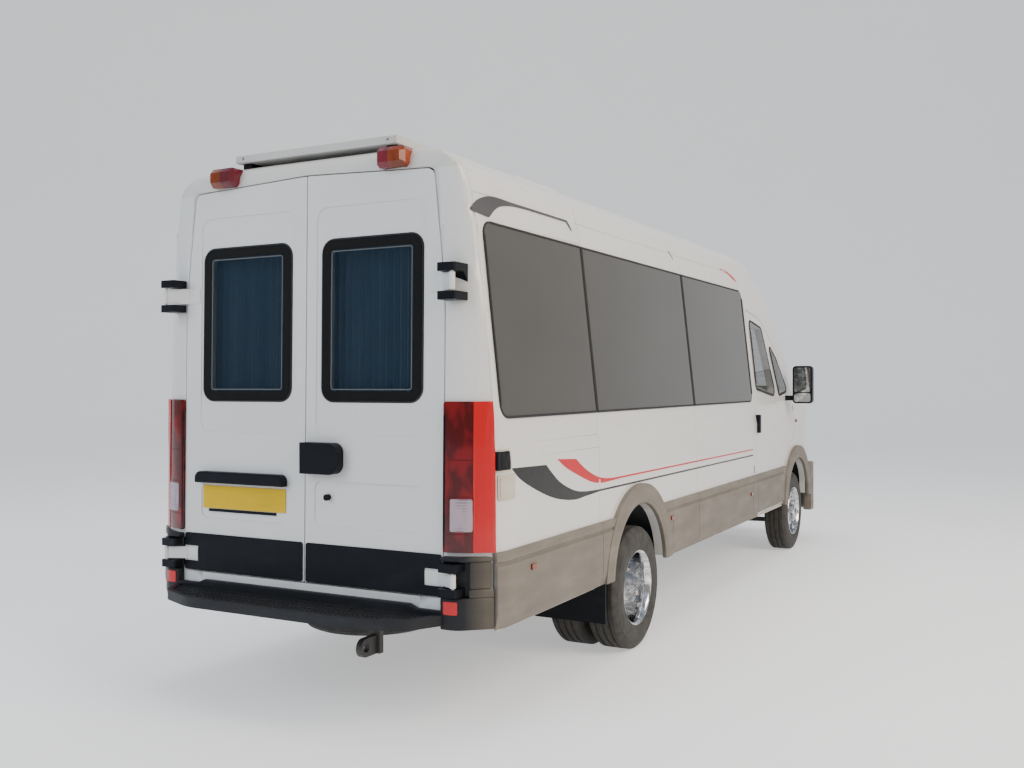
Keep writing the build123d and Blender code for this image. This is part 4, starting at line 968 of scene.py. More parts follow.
def reach(path: list[Point2], start: Vector, way: Vector) -> float:
    """How far from a point a closed path lies along a way."""
    best = math.inf
    for first, second in zip(path, path[1:] + path[:1]):
        edge = Vector(second) - Vector(first)
        across = way.cross(edge)
        if abs(across) < 1e-9:
            continue
        gap = Vector(first) - start
        along, share = gap.cross(edge) / across, gap.cross(way) / across
        if along > 0 and -1e-6 <= share <= 1 + 1e-6:
            best = min(best, along)
    return best


def half_width(z: float) -> float:
    """Half the body's width at a height, in millimetres."""
    for (low, wide), (high, narrow) in zip(SECTION, SECTION[1:]):
        if z <= high:
            return wide + (narrow - wide) * max(0.0, z - low) / (high - low)
    return 0.0


def rear_x(z: float) -> float:
    """Where the leaning rear lies at a height, in millimetres."""
    return REAR_X - REAR_LIP + REAR_SLOPE * (z - SILL_Z)


def in_corner(point: Vector) -> bool:
    """Whether a point lies where the rear corners are drawn in."""
    ahead = point.x * 1000 + MIDDLE_X - rear_x(point.z * 1000)
    return ahead < INSIDE.x and abs(point.y) * 1000 > INSIDE.y


def drawn_in(point: Vector) -> Vector:
    """Moves a point of a rear corner in, so that the tight corner becomes the real, generous one.

    Args:
        point: A point of the solids, in the model's metres.

    Returns:
        Its new place.
    """
    if not in_corner(point):
        return point.copy()
    z = point.z * 1000
    way = Vector((point.x * 1000 + MIDDLE_X - rear_x(z), abs(point.y) * 1000)) - INSIDE
    length = way.length
    if length < 1.0 or half_width(z) <= INSIDE.y:
        return point.copy()
    way = way / length
    tight = reach(TIGHT, INSIDE + Vector((REAR_SLOPE * (z - SILL_Z), 0)), way)
    if way.x < 0:
        tight = min(tight, INSIDE.x / -way.x)
    if way.y > 0:
        tight = min(tight, (half_width(z) - INSIDE.y) / way.y)
    share = min(1.0, reach(ROUND, INSIDE, way) / tight)
    spot = INSIDE + way * length * share
    return van(spot.x + rear_x(z), math.copysign(spot.y, point.y), z)


def part_corners(bm: bmesh.types.BMesh) -> None:
    """Parts the faces near the rear corners, so that they can follow the rounding, and draws them in."""
    planes = [(van(REAR_X + depth, 0, 0), (1, 0, 0)) for depth in PARTED_X]
    planes += [(van(0, side.value * out, 0), (0, 1, 0)) for side in Side for out in PARTED_Y]
    planes += [(van(0, 0, z), (0, 0, 1)) for z in PARTED_Z]
    for place, normal in planes:
        faces = [face for face in bm.faces if any(in_corner(vert.co) for vert in face.verts)]
        edges = {edge for face in faces for edge in face.edges}
        verts = {vert for face in faces for vert in face.verts}
        bmesh.ops.bisect_plane(bm, geom=[*verts, *edges, *faces], plane_co=place, plane_no=normal)
    for vert in bm.verts:
        vert.co = drawn_in(vert.co)
    near = [face for face in bm.faces if any(in_corner(vert.co) for vert in face.verts)]
    bmesh.ops.triangulate(bm, faces=[face for face in near if len(face.verts) > 3])


def island_middles(mesh: bpy.types.Mesh) -> list[Vector]:
    """For each face of a mesh, the middle of the loose part that it belongs to."""
    parent = list(range(len(mesh.vertices)))

    def root(index: int) -> int:
        """The first point of a loose part."""
        while parent[index] != index:
            parent[index] = parent[parent[index]]
            index = parent[index]
        return index

    for edge in mesh.edges:
        first, second = (root(index) for index in edge.vertices)
        parent[first] = second
    low: dict[int, Vector] = {}
    high: dict[int, Vector] = {}
    for vertex in mesh.vertices:
        key = root(vertex.index)
        low[key] = Vector(map(min, low.get(key, vertex.co), vertex.co))
        high[key] = Vector(map(max, high.get(key, vertex.co), vertex.co))
    keys = [root(face.vertices[0]) for face in mesh.polygons]
    return [(low[key] + high[key]) / 2 for key in keys]


# Copies of the solids, with finishes


class Frame:
    """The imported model: its nodes, the body that each one rides on, and ways to dress them."""

    # Points of a solid closer than this are one, in metres, and faces flatter than this are one, in degrees
    SAME_POINT = 1e-5
    SAME_PLANE = 0.4

    def __init__(self) -> None:
        """Loads the model."""
        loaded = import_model()
        self.nodes: dict[str, bpy.types.Object] = loaded["nodes"]
        bodies = loaded["record"]["behaviour"]["bodies"]
        self.body: dict[str, str] = {node: body for body, nodes in bodies.items() for node in nodes}
        self.shown = dict(self.nodes)

    def stand_in(self, made: bpy.types.Object, name: str) -> None:
        """Puts a piece in a node's place."""
        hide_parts(name)
        self.shown[name] = made

    def paint(self, finish: Finish, *names: str) -> None:
        """Gives nodes that stay as they are a finish."""
        for name in names:
            mesh = self.nodes[name].data
            mesh.materials.clear()
            mesh.materials.append(finish.material())
            LOG.info("painted %s", name)

    def copied(
        self,
        name: str,
        cuts: tuple[tuple[Row, Row], ...],
        corners: bool,
        shape: Callable[[Vector], Vector] | None,
    ) -> bpy.types.Mesh:
        """A copy of a node's mesh with its triangles merged into whole faces.

        Args:
            name: The node.
            cuts: Planes, as (point, normal), that part its faces.
            corners: Whether its rear corners are drawn in to the real rounding.
            shape: Moves each of its points.

        Returns:
            The mesh.
        """
        mesh = self.nodes[name].data.copy()
        mesh.name = f"{name}_dressed"
        bm = bmesh.new()
        bm.from_mesh(mesh)
        bmesh.ops.remove_doubles(bm, verts=bm.verts, dist=self.SAME_POINT)
        flat = math.radians(self.SAME_PLANE)
        bmesh.ops.dissolve_limit(bm, angle_limit=flat, verts=bm.verts, edges=bm.edges)
        for place, normal in cuts:
            parts = [*bm.verts, *bm.edges, *bm.faces]
            bmesh.ops.bisect_plane(bm, geom=parts, plane_co=place, plane_no=normal)
        if corners:
            part_corners(bm)
        if shape:
            for vert in bm.verts:
                vert.co = shape(vert.co)
        bm.to_mesh(mesh)
        bm.free()
        return mesh

    def dress(
        self,
        name: str,
        *finishes: Finish,
        edge: float = 0.0,
        pick: Callable[[Vector, Vector], int] | None = None,
        smooth: float = 30.0,
        cuts: tuple[tuple[Row, Row], ...] = (),
        corners: bool = False,
        shape: Callable[[Vector], Vector] | None = None,
    ) -> None:
        """Puts a smooth copy of a node in its place.

        Args:
            name: The node.
            finishes: Its finishes; the first one is used where pick isn't given.
            edge: How far its edges are rounded, in metres.
            pick: Tells a face's finish from the face's middle and its solid's middle.
            smooth: Edges flatter than this many degrees are shaded smooth.
            cuts: Planes, as (point, normal), that part its faces so that each side can have a finish.
            corners: Whether its rear corners are drawn in to the real rounding.
            shape: Moves each of its points.
        """
        mesh = self.copied(name, cuts, corners, shape)
        made = settle(f"{name}_dressed", mesh, finishes[0], self.body[name], smooth)
        for finish in finishes[1:]:
            mesh.materials.append(finish.material())
        if pick:
            for face, middle in zip(mesh.polygons, island_middles(mesh)):
                face.material_index = pick(face.center, middle)
        self.stand_in(made, name)
        if edge:
            soften(made, edge)
        else:
            weigh(made)


# The van's parts


@dataclass
class Panels:
    """The painted and moulded skins.

    In metres: the heights that part the header from the portal and a cab door's trims, where the ears of the
    hinge brackets start to be drawn in, and how far their feet go in. A foot starts some millimetres out.
    """

    frame: Frame
    header_z: float = 2.455
    trim_z: float = 1.0
    ear_from: float = 0.835
    ear_share: float = 0.5
    foot_in: float = 0.07
    foot_from_mm: float = 7.0

    def build(self) -> None:
        """Dresses the body's skins."""
        dress = self.frame.dress
        for name in ("side_panel_right", "side_panel_left", "roof_panel"):
            dress(name, WHITE, corners=True)
        for name in ("sliding_door", "cab_frame", "front_wings", "bonnet"):
            dress(name, WHITE)
        dress(
            "rear_portal",
            WHITE,
            HEADER,
            pick=lambda face, _: int(face.z > self.header_z),
            cuts=(((0.0, 0.0, self.header_z), (0.0, 0.0, 1.0)),),
            corners=True,
        )
        for side in Side:
            dress(f"front_door_{side.word}", WHITE)
            dress(f"rear_door_{side.word}", WHITE, edge=0.0015)
            dress(f"rear_door_fittings_{side.word}", BLACK, edge=0.0015)
            dress(
                f"front_door_trim_{side.word}",
                CLADDING,
                BLACK,
                edge=0.002,
                pick=lambda _, solid: int(solid.z > self.trim_z),
            )
        dress("number_plate", YELLOW)
        dress("side_cladding", CLADDING, edge=0.0015, corners=True)
        dress("front_bumper", CLADDING, edge=0.006)
        dress("hinge_brackets", BLACK, edge=0.002, shape=self.to_corner)
        dress("grille", BLACK, edge=0.001)
        dress("roof_vent_frame", WHITE, edge=0.002)
        dress("roof_vent_lid", WHITE, edge=0.002)

    def to_corner(self, point: Vector) -> Vector:
        """Takes the foot of a hinge's bracket in to the rounded corner, and its ears closer to it."""
        in_foot = point.x * 1000 + MIDDLE_X > rear_x(point.z * 1000) - self.foot_from_mm
        out = abs(point.y)
        out = min(out, self.ear_from + self.ear_share * (out - self.ear_from))
        return Vector((point.x + self.foot_in * in_foot, math.copysign(out, point.y), point.z))


@dataclass
class RearBumper:
    """The black rear bumper: a corner at each side, a step with a raised rim and the wall behind it.

    In millimetres: the step's heights, the wall's depths, and the tread's rows as (place, half the length),
    with the pitch and height of their bars. In metres: the rim's width, how far the tread is sunk, and a
    bar's half length, half width and height, with the shift of its two arms. Their slant is in degrees.
    """

    frame: Frame
    step_heights: Point2 = (478, 524)
    wall_depths: Point2 = (-1786, -1757)
    tread_rows: tuple[Point2, ...] = ((-1832, 690), (-1872, 670), (-1912, 630), (-1952, 560), (-1982, 440))
    bar_pitch: float = 26.0
    bar_z: float = 515.9
    rim_m: float = 0.024
    sunk_m: float = 0.008
    bar_m: Row = (0.0155, 0.0016, 0.0024)
    arm_shift_m: float = 0.0095
    arm_slant: float = 42.0

    def build(self) -> None:
        """Makes the bumper and its tread."""
        solids = [*self.corner(Side.LEFT), *self.corner(Side.RIGHT), self.wall()]
        made = piece("rear_bumper_corners", joined(solids), BUMPER, "van")
        soften(made, 0.006, segments=3)
        self.frame.stand_in(made, "rear_bumper")
        self.step()
        self.tread()

    @staticmethod
    def corner(side: Side) -> list[Solid]:
        """A corner's tiers, left open round the door's lower hinge."""
        tiers: list[tuple[list[Row], float, float]] = []
        for low, high, inset in ((461, 598, 0), (751, 772, 1)):
            rear, out = -1786 + inset, 970 - inset
            rows = [(rear, 764, 0), (-1673, 764, 0), (-1673, out, 0), (rear, 842 - inset, 90)]
            tiers.append((rows, low, high))
        for low, high, inset in ((597, 634, 0), (633, 752, 8)):
            tiers.append(([(-1749 + inset, 885, 0), (-1673, 885, 0), (-1673, 970 - inset, 0)], low, high))
        back = [(-1760, 762, 0), (-1690, 762, 0), (-1690, 887, 0), (-1722, 887, 0), (-1752, 800, 0)]
        tiers.append((back, 596, 753))
        outlines = [[(x, side.value * y) for x, y in rounded(rows)] for rows, _, _ in tiers]
        return [prism(outline, low, high) for outline, (_, low, high) in zip(outlines, tiers)]

    def wall(self) -> Solid:
        """The wall between the step and the white strip, higher in the middle."""
        rows = [(-770, 482, 0), (-770, 539, 0), (-640, 539, 20), (-600, 556, 20)]
        rows += [(-y, z, radius) for y, z, radius in reversed(rows)]
        return between(*([van(x, y, z) for y, z in rounded(rows)] for x in self.wall_depths))

    def step(self) -> None:
        """The step, with a rim round its sunken tread."""
        rows = [(-1690, -776, 0), (-1790, -776, 20), (-1928, -700, 90), (-2016, -480, 320)]
        rows += [(x, -y, radius) for x, y, radius in reversed(rows)]
        made = piece("rear_step", prism(rounded(rows, 10), *self.step_heights), STEP, "van")
        bm = bmesh.new()
        bm.from_mesh(made.data)
        top = max(bm.faces, key=lambda face: face.calc_center_median().z)
        bmesh.ops.inset_region(bm, faces=[top], thickness=self.rim_m)
        sunk = bmesh.ops.extrude_face_region(bm, geom=[top])["geom"]
        bmesh.ops.delete(bm, geom=[top], context="FACES")
        verts = [item for item in sunk if isinstance(item, bmesh.types.BMVert)]
        bmesh.ops.translate(bm, verts=verts, vec=(0, 0, -self.sunk_m))
        bmesh.ops.recalc_face_normals(bm, faces=bm.faces)
        bm.to_mesh(made.data)
        bm.free()
        soften(made, 0.005, segments=3)

    def tread(self) -> None:
        """Rows of arrow-shaped bars on the step's tread."""
        half_length, half_width, height = self.bar_m
        arms: list[Solid] = []
        for way in Side:
            slant = Matrix.Rotation(way.value * math.radians(self.arm_slant), 4, "Z")
            turn = Matrix.Translation((way.value * self.arm_shift_m, 0, 0)) @ slant
            arms.append(moved(turn, block(half_length, half_width, 0, height)))
        bar, pitch = joined(arms), Vector((0, self.bar_pitch / 1000, 0))
        for number, (x, half) in enumerate(self.tread_rows):
            count = round(2 * half / self.bar_pitch) + 1
            start = van(x, -self.bar_pitch / 2 * (count - 1), self.bar_z)
            pattern = Pattern(Layout.LINE, bar, count, pitch)
            pattern.bake(f"step_tread_{number}", STEP, "van", Matrix.Translation(start))


@dataclass
class Glass:
    """The panes, their rubbers and the borders of the rear ones.

    A side's panes are (back, front, radius behind, radius in front), a rear pane is (inner end, outer end,
    bottom, top), and the others are corners of (across, up, radius), all in millimetres. The rubbers and the
    pale line are (width, height) in metres.
    """

    frame: Frame
    skin: Skin
    pane_z: Point2 = (1365.0, 2227.0)
    rear_pane: tuple[float, float, float, float] = (95.0, 640.0, 1436.0, 2175.0)
    rear_radius: float = 60.0
    least_radius: float = 12.0
    side_rubber: Point2 = (0.012, 0.007)
    door_rubber: Point2 = (0.022, 0.007)
    screen_rubber: Point2 = (0.03, 0.008)
    rear_rubber: Point2 = (0.012, 0.006)
    pale_line: Point2 = (0.005, 0.0014)

    PANES = {
        Side.RIGHT: [(-1606, -568, 65, 3), (-560, 1047, 3, 3), (1055, 2492, 3, 65)],
        Side.LEFT: [(-1606, -568, 65, 3), (-560, 1024, 3, 65), (1082, 2378, 65, 65)],
    }
    DOOR_PANES = {
        "pane": [(2650, 1462, 40), (3270, 1392, 60), (3010, 1962, 50), (2650, 2012, 50)],
        "quarter": [(3372, 1402, 30), (3690, 1436, 30), (3400, 1720, 60), (3178, 1850, 30)],
    }
    SCREEN = [(-884, 1450, 60), (884, 1450, 60), (800, 2186, 90), (-800, 2186, 90)]

    def build(self) -> None:
        """Dresses the panes."""
        self.frame.dress("side_glass", SIDE_GLASS)
        self.frame.dress("windscreen", CAB_GLASS)
        for side in Side:
            self.frame.dress(f"rear_door_glass_{side.word}", REAR_GLASS)
            self.frame.dress(f"front_door_glass_{side.word}", CAB_GLASS)
            self.side_seals(side)
            self.door_seals(side)
            self.rear_borders(side)
        spots = traced(rounded(self.SCREEN), 90, self.skin.front)
        bead("screen_seal", spots, half_round(*self.screen_rubber), SEAL, "van")

    def side_seals(self, side: Side) -> None:
        """The rubbers round the panes of one side."""
        bottom, top = self.pane_z
        for number, (back, front, behind, ahead) in enumerate(self.PANES[side]):
            rows = [(back, bottom, behind), (front, bottom, ahead), (front, top, ahead), (back, top, behind)]
            spots = traced(rounded(rows), 90, self.skin.side(side))
            bead(f"side_seal_{side.word}_{number}", spots, half_round(*self.side_rubber), SEAL, "van")

    def door_seals(self, side: Side) -> None:
        """The rubbers of a cab door's pane and quarter pane."""
        for word, rows in self.DOOR_PANES.items():
            spots = traced(rounded(rows), 60, self.skin.side(side))
            name = f"{word}_seal_{side.word}"
            bead(name, spots, half_round(*self.door_rubber), SEAL, f"front_door_{side.word}")

    def rear_borders(self, side: Side) -> None:
        """The black border, pale line and rubber of a rear pane."""
        low, high, bottom, top = self.rear_pane
        body = f"rear_door_{side.word}"

        def ring(inset: float) -> list[Spot]:
            """The border's outline, made smaller by an inset."""
            radius = max(self.least_radius, self.rear_radius - inset)
            rows = plate(low + inset, high - inset, bottom + inset, top - inset, radius)
            return traced(rows, 120, self.skin.rear(side))

        border(f"rear_border_{side.word}", ring(2), ring(44), FRIT, body)
        bead(f"rear_pale_line_{side.word}", ring(52), half_round(*self.pale_line), PALE_LINE, body)
        bead(f"rear_seal_{side.word}", ring(-3), half_round(*self.rear_rubber), SEAL, body)


@dataclass
class Stripes:
    """The black and red swooshes with their lines, on both sides.

    A groove's half height is in millimetres: above and below it the wall is sound. The lines fall by a share
    of their length, and the wall leans by another where a line lies in a groove.
    """

    skin: Skin
    groove: float = 12.0
    lean: float = 0.1
    fall: float = 0.0064
    end_right: float = 2470.0
    end_left: float = 1110.0

    def build(self) -> None:
        """Lays the stripes."""
        for side in Side:
            self.lower(side)
            self.upper(side)

    def lay(self, name: str, outline: list[Point2], finish: Finish, side: Side) -> None:
        """Lays one stripe on a side."""
        film(f"{name}_{side.word}", outline, self.skin.side(side), finish)

    def lay_over(self, name: str, outline: list[Point2], finish: Finish, side: Side) -> None:
        """Lays one stripe on a side, straight over the groove that runs under it."""

        def bridged(x: float, z: float) -> Spot | None:
            """The wall's point without the groove."""
            spots = [self.skin.side(side)(x, z + up) for up in (-self.groove, 0, self.groove)]
            found = [spot for spot in spots if spot]
            if not found:
                return None
            place, _ = max(found, key=lambda spot: abs(spot[0].y))
            return Vector((place.x, place.y, z / 1000)), Vector((0, side.value, self.lean)).normalized()

        film(f"{name}_{side.word}", outline, bridged, finish, lift=0.0007, step=24)

    def lower(self, side: Side) -> None:
        """The swooshes below the windows, which thin out into lines."""
        end = self.end_right if side is Side.RIGHT else self.end_left
        drop = (end + 600) * self.fall
        black = curve([
            (-1538, 1141), (-1440, 1080), (-1243, 1006), (-1060, 958), (-874, 936), (-740, 940), (-560, 948),
        ])
        black += [(end, 958 - drop), (end, 968 - drop)]
        black += curve([(-560, 958), (-752, 966), (-880, 984), (-1027, 1032), (-1120, 1084), (-1190, 1131)])
        self.lay("black_swoosh", black, STRIPE_BLACK, side)
        red = curve([
            (-1072, 1150), (-960, 1098), (-752, 1030), (-640, 1002), (-538, 990), (-400, 990), (-250, 993),
        ])
        red += [(end, 1003 - drop), (end, 1012 - drop)]
        red += curve([(-250, 1003), (-420, 1006), (-560, 1022), (-680, 1056), (-780, 1098), (-853, 1137)])
        self.lay("red_swoosh", red, STRIPE_RED, side)

    def upper(self, side: Side) -> None:
        """The crescent over the first window, the lines' hooked ends and the red stroke over the last one."""
        crescent = [(-1692, 2262), *curve([(-1537, 2251), (-1438, 2309), (-1310, 2336), (-1150, 2345)])]
        crescent += [(-690, 2347), (-636, 2303), (-640, 2318), (-676, 2357), (-1150, 2357)]
        crescent += curve([(-1310, 2357), (-1438, 2358), (-1531, 2347), (-1620, 2318), (-1692, 2274)])
        self.lay_over("upper_crescent", crescent, STRIPE_GREY, side)
        hook = [(888, 2364), (903, 2362), (966, 2318), (960, 2336), (912, 2372), (888, 2372)]
        self.lay("upper_hook", hook, STRIPE_GREY, side)
        if side is Side.RIGHT:
            stroke = [(2040, 2362), (2180, 2352), (2453, 2290), (2400, 2326), (2200, 2368), (2040, 2370)]
            self.lay("upper_stroke", stroke, STRIPE_RED, side)


@dataclass
class Lamps:
    """Tail lamps, markers, headlamps and reflectors.

    In metres: how far out the lamps' finishes change and their faces are cut, and the height over which a
    marker is one of the roof's. In millimetres: the laid pieces, as (inner end, outer end, bottom, top,
    radius), and where a roof marker lies, as (start, length), in the solid and on the real van.
    """

    frame: Frame
    rear_skin: Skin
    ridge_from: float = 0.893
    ridge_cut: float = 0.9255
    red_to: float = 0.492
    red_cut: float = 0.500
    roof_markers_from: float = 2.44

    MARKER_OUT = ((398, 214), (420, 152))
    MARKER_UP = ((2479, 103), (2472, 92))
    REFLECTOR = (782, 846, 528, 584, 6)
    PLATE_STRIP = (175, 600, 888, 901, 3)

    # A tail lamp's laid pieces, each with its finish, its thickness in metres and its points' distance
    TAIL = {
        "reversing_lens_{}": ((796, 888, 878, 1018, 8), CLEAR_LENS, 0.002, 24),
        "tail_divider_{}_0": ((772, 892, 866.5, 869.5, 0), DARK_RED, 0.0012, 24),
        "tail_divider_{}_1": ((772, 892, 1026.5, 1029.5, 0), DARK_RED, 0.0012, 24),
        "tail_divider_{}_2": ((772, 892, 1184.5, 1187.5, 0), DARK_RED, 0.0012, 24),
        "tail_ridge_{}": ((890, 896, 790, 1435, 0), RIDGE_LENS, 0.004, 40),
        "tail_edge_{}": ((763, 770, 790, 1435, 0), BLACK, 0.0012, 60),
    }

    def build(self) -> None:
        """Dresses the lamps."""
        self.frame.dress(
            "tail_lamps",
            RED_LENS,
            RIDGE_LENS,
            pick=lambda face, _: int(abs(face.y) > self.ridge_from),
            smooth=50.0,
            cuts=self.cuts(self.ridge_cut),
            corners=True,
        )
        self.frame.dress(
            "marker_lamps",
            AMBER_LENS,
            PLUM_LENS,
            pick=lambda face, solid: int(solid.z > self.roof_markers_from and abs(face.y) < self.red_to),
            cuts=self.cuts(self.red_cut),
            shape=self.smaller_marker,
        )
        self.frame.dress("headlamps", HEAD_LENS, edge=0.002)
        lamp_skin = Skin(self.frame.shown, ["tail_lamps"])
        for side in Side:
            for name, (rows, finish, lift, step) in self.TAIL.items():
                film(name.format(side.word), plate(*rows), lamp_skin.rear(side), finish, lift=lift, step=step)
            name, on = f"bumper_reflector_{side.word}", self.rear_skin.rear(side)
            film(name, plate(*self.REFLECTOR), on, RIDGE_LENS, lift=0.004, step=16)
        strip, on_door = plate(*self.PLATE_STRIP), self.rear_skin.rear(Side.LEFT)
        film("plate_strip", strip, on_door, BLACK, "rear_door_left", lift=0.006, step=60)

    @staticmethod
    def cuts(out: float) -> tuple[tuple[Row, Row], ...]:
        """An upright plane along the van on each side."""
        return tuple(((0.0, side.value * out, 0.0), (0.0, 1.0, 0.0)) for side in Side)

    def smaller_marker(self, point: Vector) -> Vector:
        """Draws the roof's markers in to the real ones' size."""
        if point.z < self.roof_markers_from:
            return point
        out = self.refitted(abs(point.y) * 1000, *self.MARKER_OUT)
        up = self.refitted(point.z * 1000, *self.MARKER_UP)
        return Vector((point.x, math.copysign(out, point.y) / 1000, up / 1000))

    @staticmethod
    def refitted(value: float, old: Point2, new: Point2) -> float:
        """Takes a place from one stretch, as (start, length), to the same place of another."""
        return new[0] + (value - old[0]) * new[1] / old[1]


@dataclass
class SideFittings:
    """Vents, flaps, a lock and sill strips on the side walls, in millimetres.

    A slat is half its thickness, half its depth and half its height, in metres.
    """

    skin: Skin
    sill_runs: tuple[Point2, ...] = ((-1650, -600), (470, 3440))
    sill_heights: Point2 = (445, 458)
    sill_depths: Point2 = (958, 969)
    slats: int = 9
    slat_m: Row = (0.0026, 0.0035, 0.040)
    slat_pitch: float = 11.2
    first_slat: Point2 = (-1651, 1178)
    vent_middle: float = -1606.0

    # The right side's laid pieces, as (back, front, bottom, top, radius), a finish and a thickness in metres
    LAID = {
        "side_vent_frame": ((-1674, -1538, 1126, 1229, 14), CREAM, 0.004),
        "side_vent_hollow": ((-1662, -1550, 1137, 1219, 8), BLACK, 0.0048),
        "hookup_flap": ((-1636, -1513, 1007, 1119, 12), CREAM, 0.007),
        "hookup_lid": ((-1626, -1523, 1018, 1108, 8), CREAM, 0.010),
        "lock_slot": ((2500, 2516, 798, 860, 7), BLACK, 0.001),
    }

    def build(self) -> None:
        """Adds the fittings."""
        on = self.skin.side(Side.RIGHT)
        for name, (rows, finish, lift) in self.LAID.items():
            film(name, plate(*rows), on, finish, lift=lift, step=30)
        self.louvres()
        for side in Side:
            for number, (back, front) in enumerate(self.sill_runs):
                first, last = sorted(out * side.value for out in self.sill_depths)
                bottom, top = self.sill_heights
                strip = solid_box(van(back, first, bottom), van(front, last, top))
                piece(f"sill_strip_{side.word}_{number}", strip, CREAM, "van")

    def louvres(self) -> None:
        """The upright slats of the side vent, repeated along the van."""
        half_thick, half_deep, half_high = self.slat_m
        x, z = self.first_slat
        spot, _ = self.skin.side(Side.RIGHT)(self.vent_middle, z)
        start = van(x, spot.y * 1000 - 6, z)
        slat = block(half_thick, half_deep, -half_high, half_high)
        pattern = Pattern(Layout.LINE, slat, self.slats, Vector((self.slat_pitch / 1000, 0, 0)))
        pattern.bake("side_vent_louvres", TRIM, "van", Matrix.Translation(start))


@dataclass
class Tyre:
    """A road tyre with a ribbed tread and shoulder blocks."""

    name: str
    body: str
    node: str
    centres: list[Vector]
    upright: bool = True
    blocks: int = 92
    block_radius: float = 0.33
    half_block: float = 0.0055

    # One half of the section and a shoulder block's outline, as (radius, distance out)
    HALF = [
        (347, 6), (347, 36), (340, 38), (340, 46), (347, 48), (346, 70), (341, 76), (336, 82), (324, 88),
        (310, 93), (306, 95), (302, 94), (284, 97.2), (262, 97.5), (232, 94), (214, 90), (206, 86), (204, 78),
    ]
    BLOCK = [
        (0.332, 0.081), (0.3375, 0.0745), (0.345, 0.071), (0.3465, 0.062), (0.340, 0.060), (0.330, 0.070),
    ]

    def build(self) -> None:
        """Makes the tyre at each of its centres."""
        turn = Matrix.Identity(4) if self.upright else Matrix.Rotation(math.radians(90), 4, "X")
        places = [Matrix.Translation(centre) @ turn for centre in self.centres]
        groove = [(340, -4), (340, 4)]
        section = lathe([(radius, -out) for radius, out in reversed(self.HALF)] + groove + self.HALF, 112)
        carcass = joined(moved(place, section) for place in places)
        made = piece(f"{self.name}_carcass", carcass, TYRE, self.body, smooth=28.0)
        for number, place in enumerate(places):
            for side in Side:
                self.shoulder(side, number, place)
        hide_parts(self.node)

    def shoulder(self, side: Side, number: int, place: Matrix) -> None:
        """A ring of blocks on one shoulder."""
        rows = [(radius - self.block_radius, side.value * out) for radius, out in self.BLOCK]
        ends = (-self.half_block, self.half_block)
        lug = between(*([Vector((x, y, z)) for x, y in rows] for z in ends))
        pattern = Pattern(Layout.RING, lug, self.blocks, radius=self.block_radius)
        pattern.bake(f"{self.name}_blocks_{number}_{side.word}", TYRE, self.body, place)


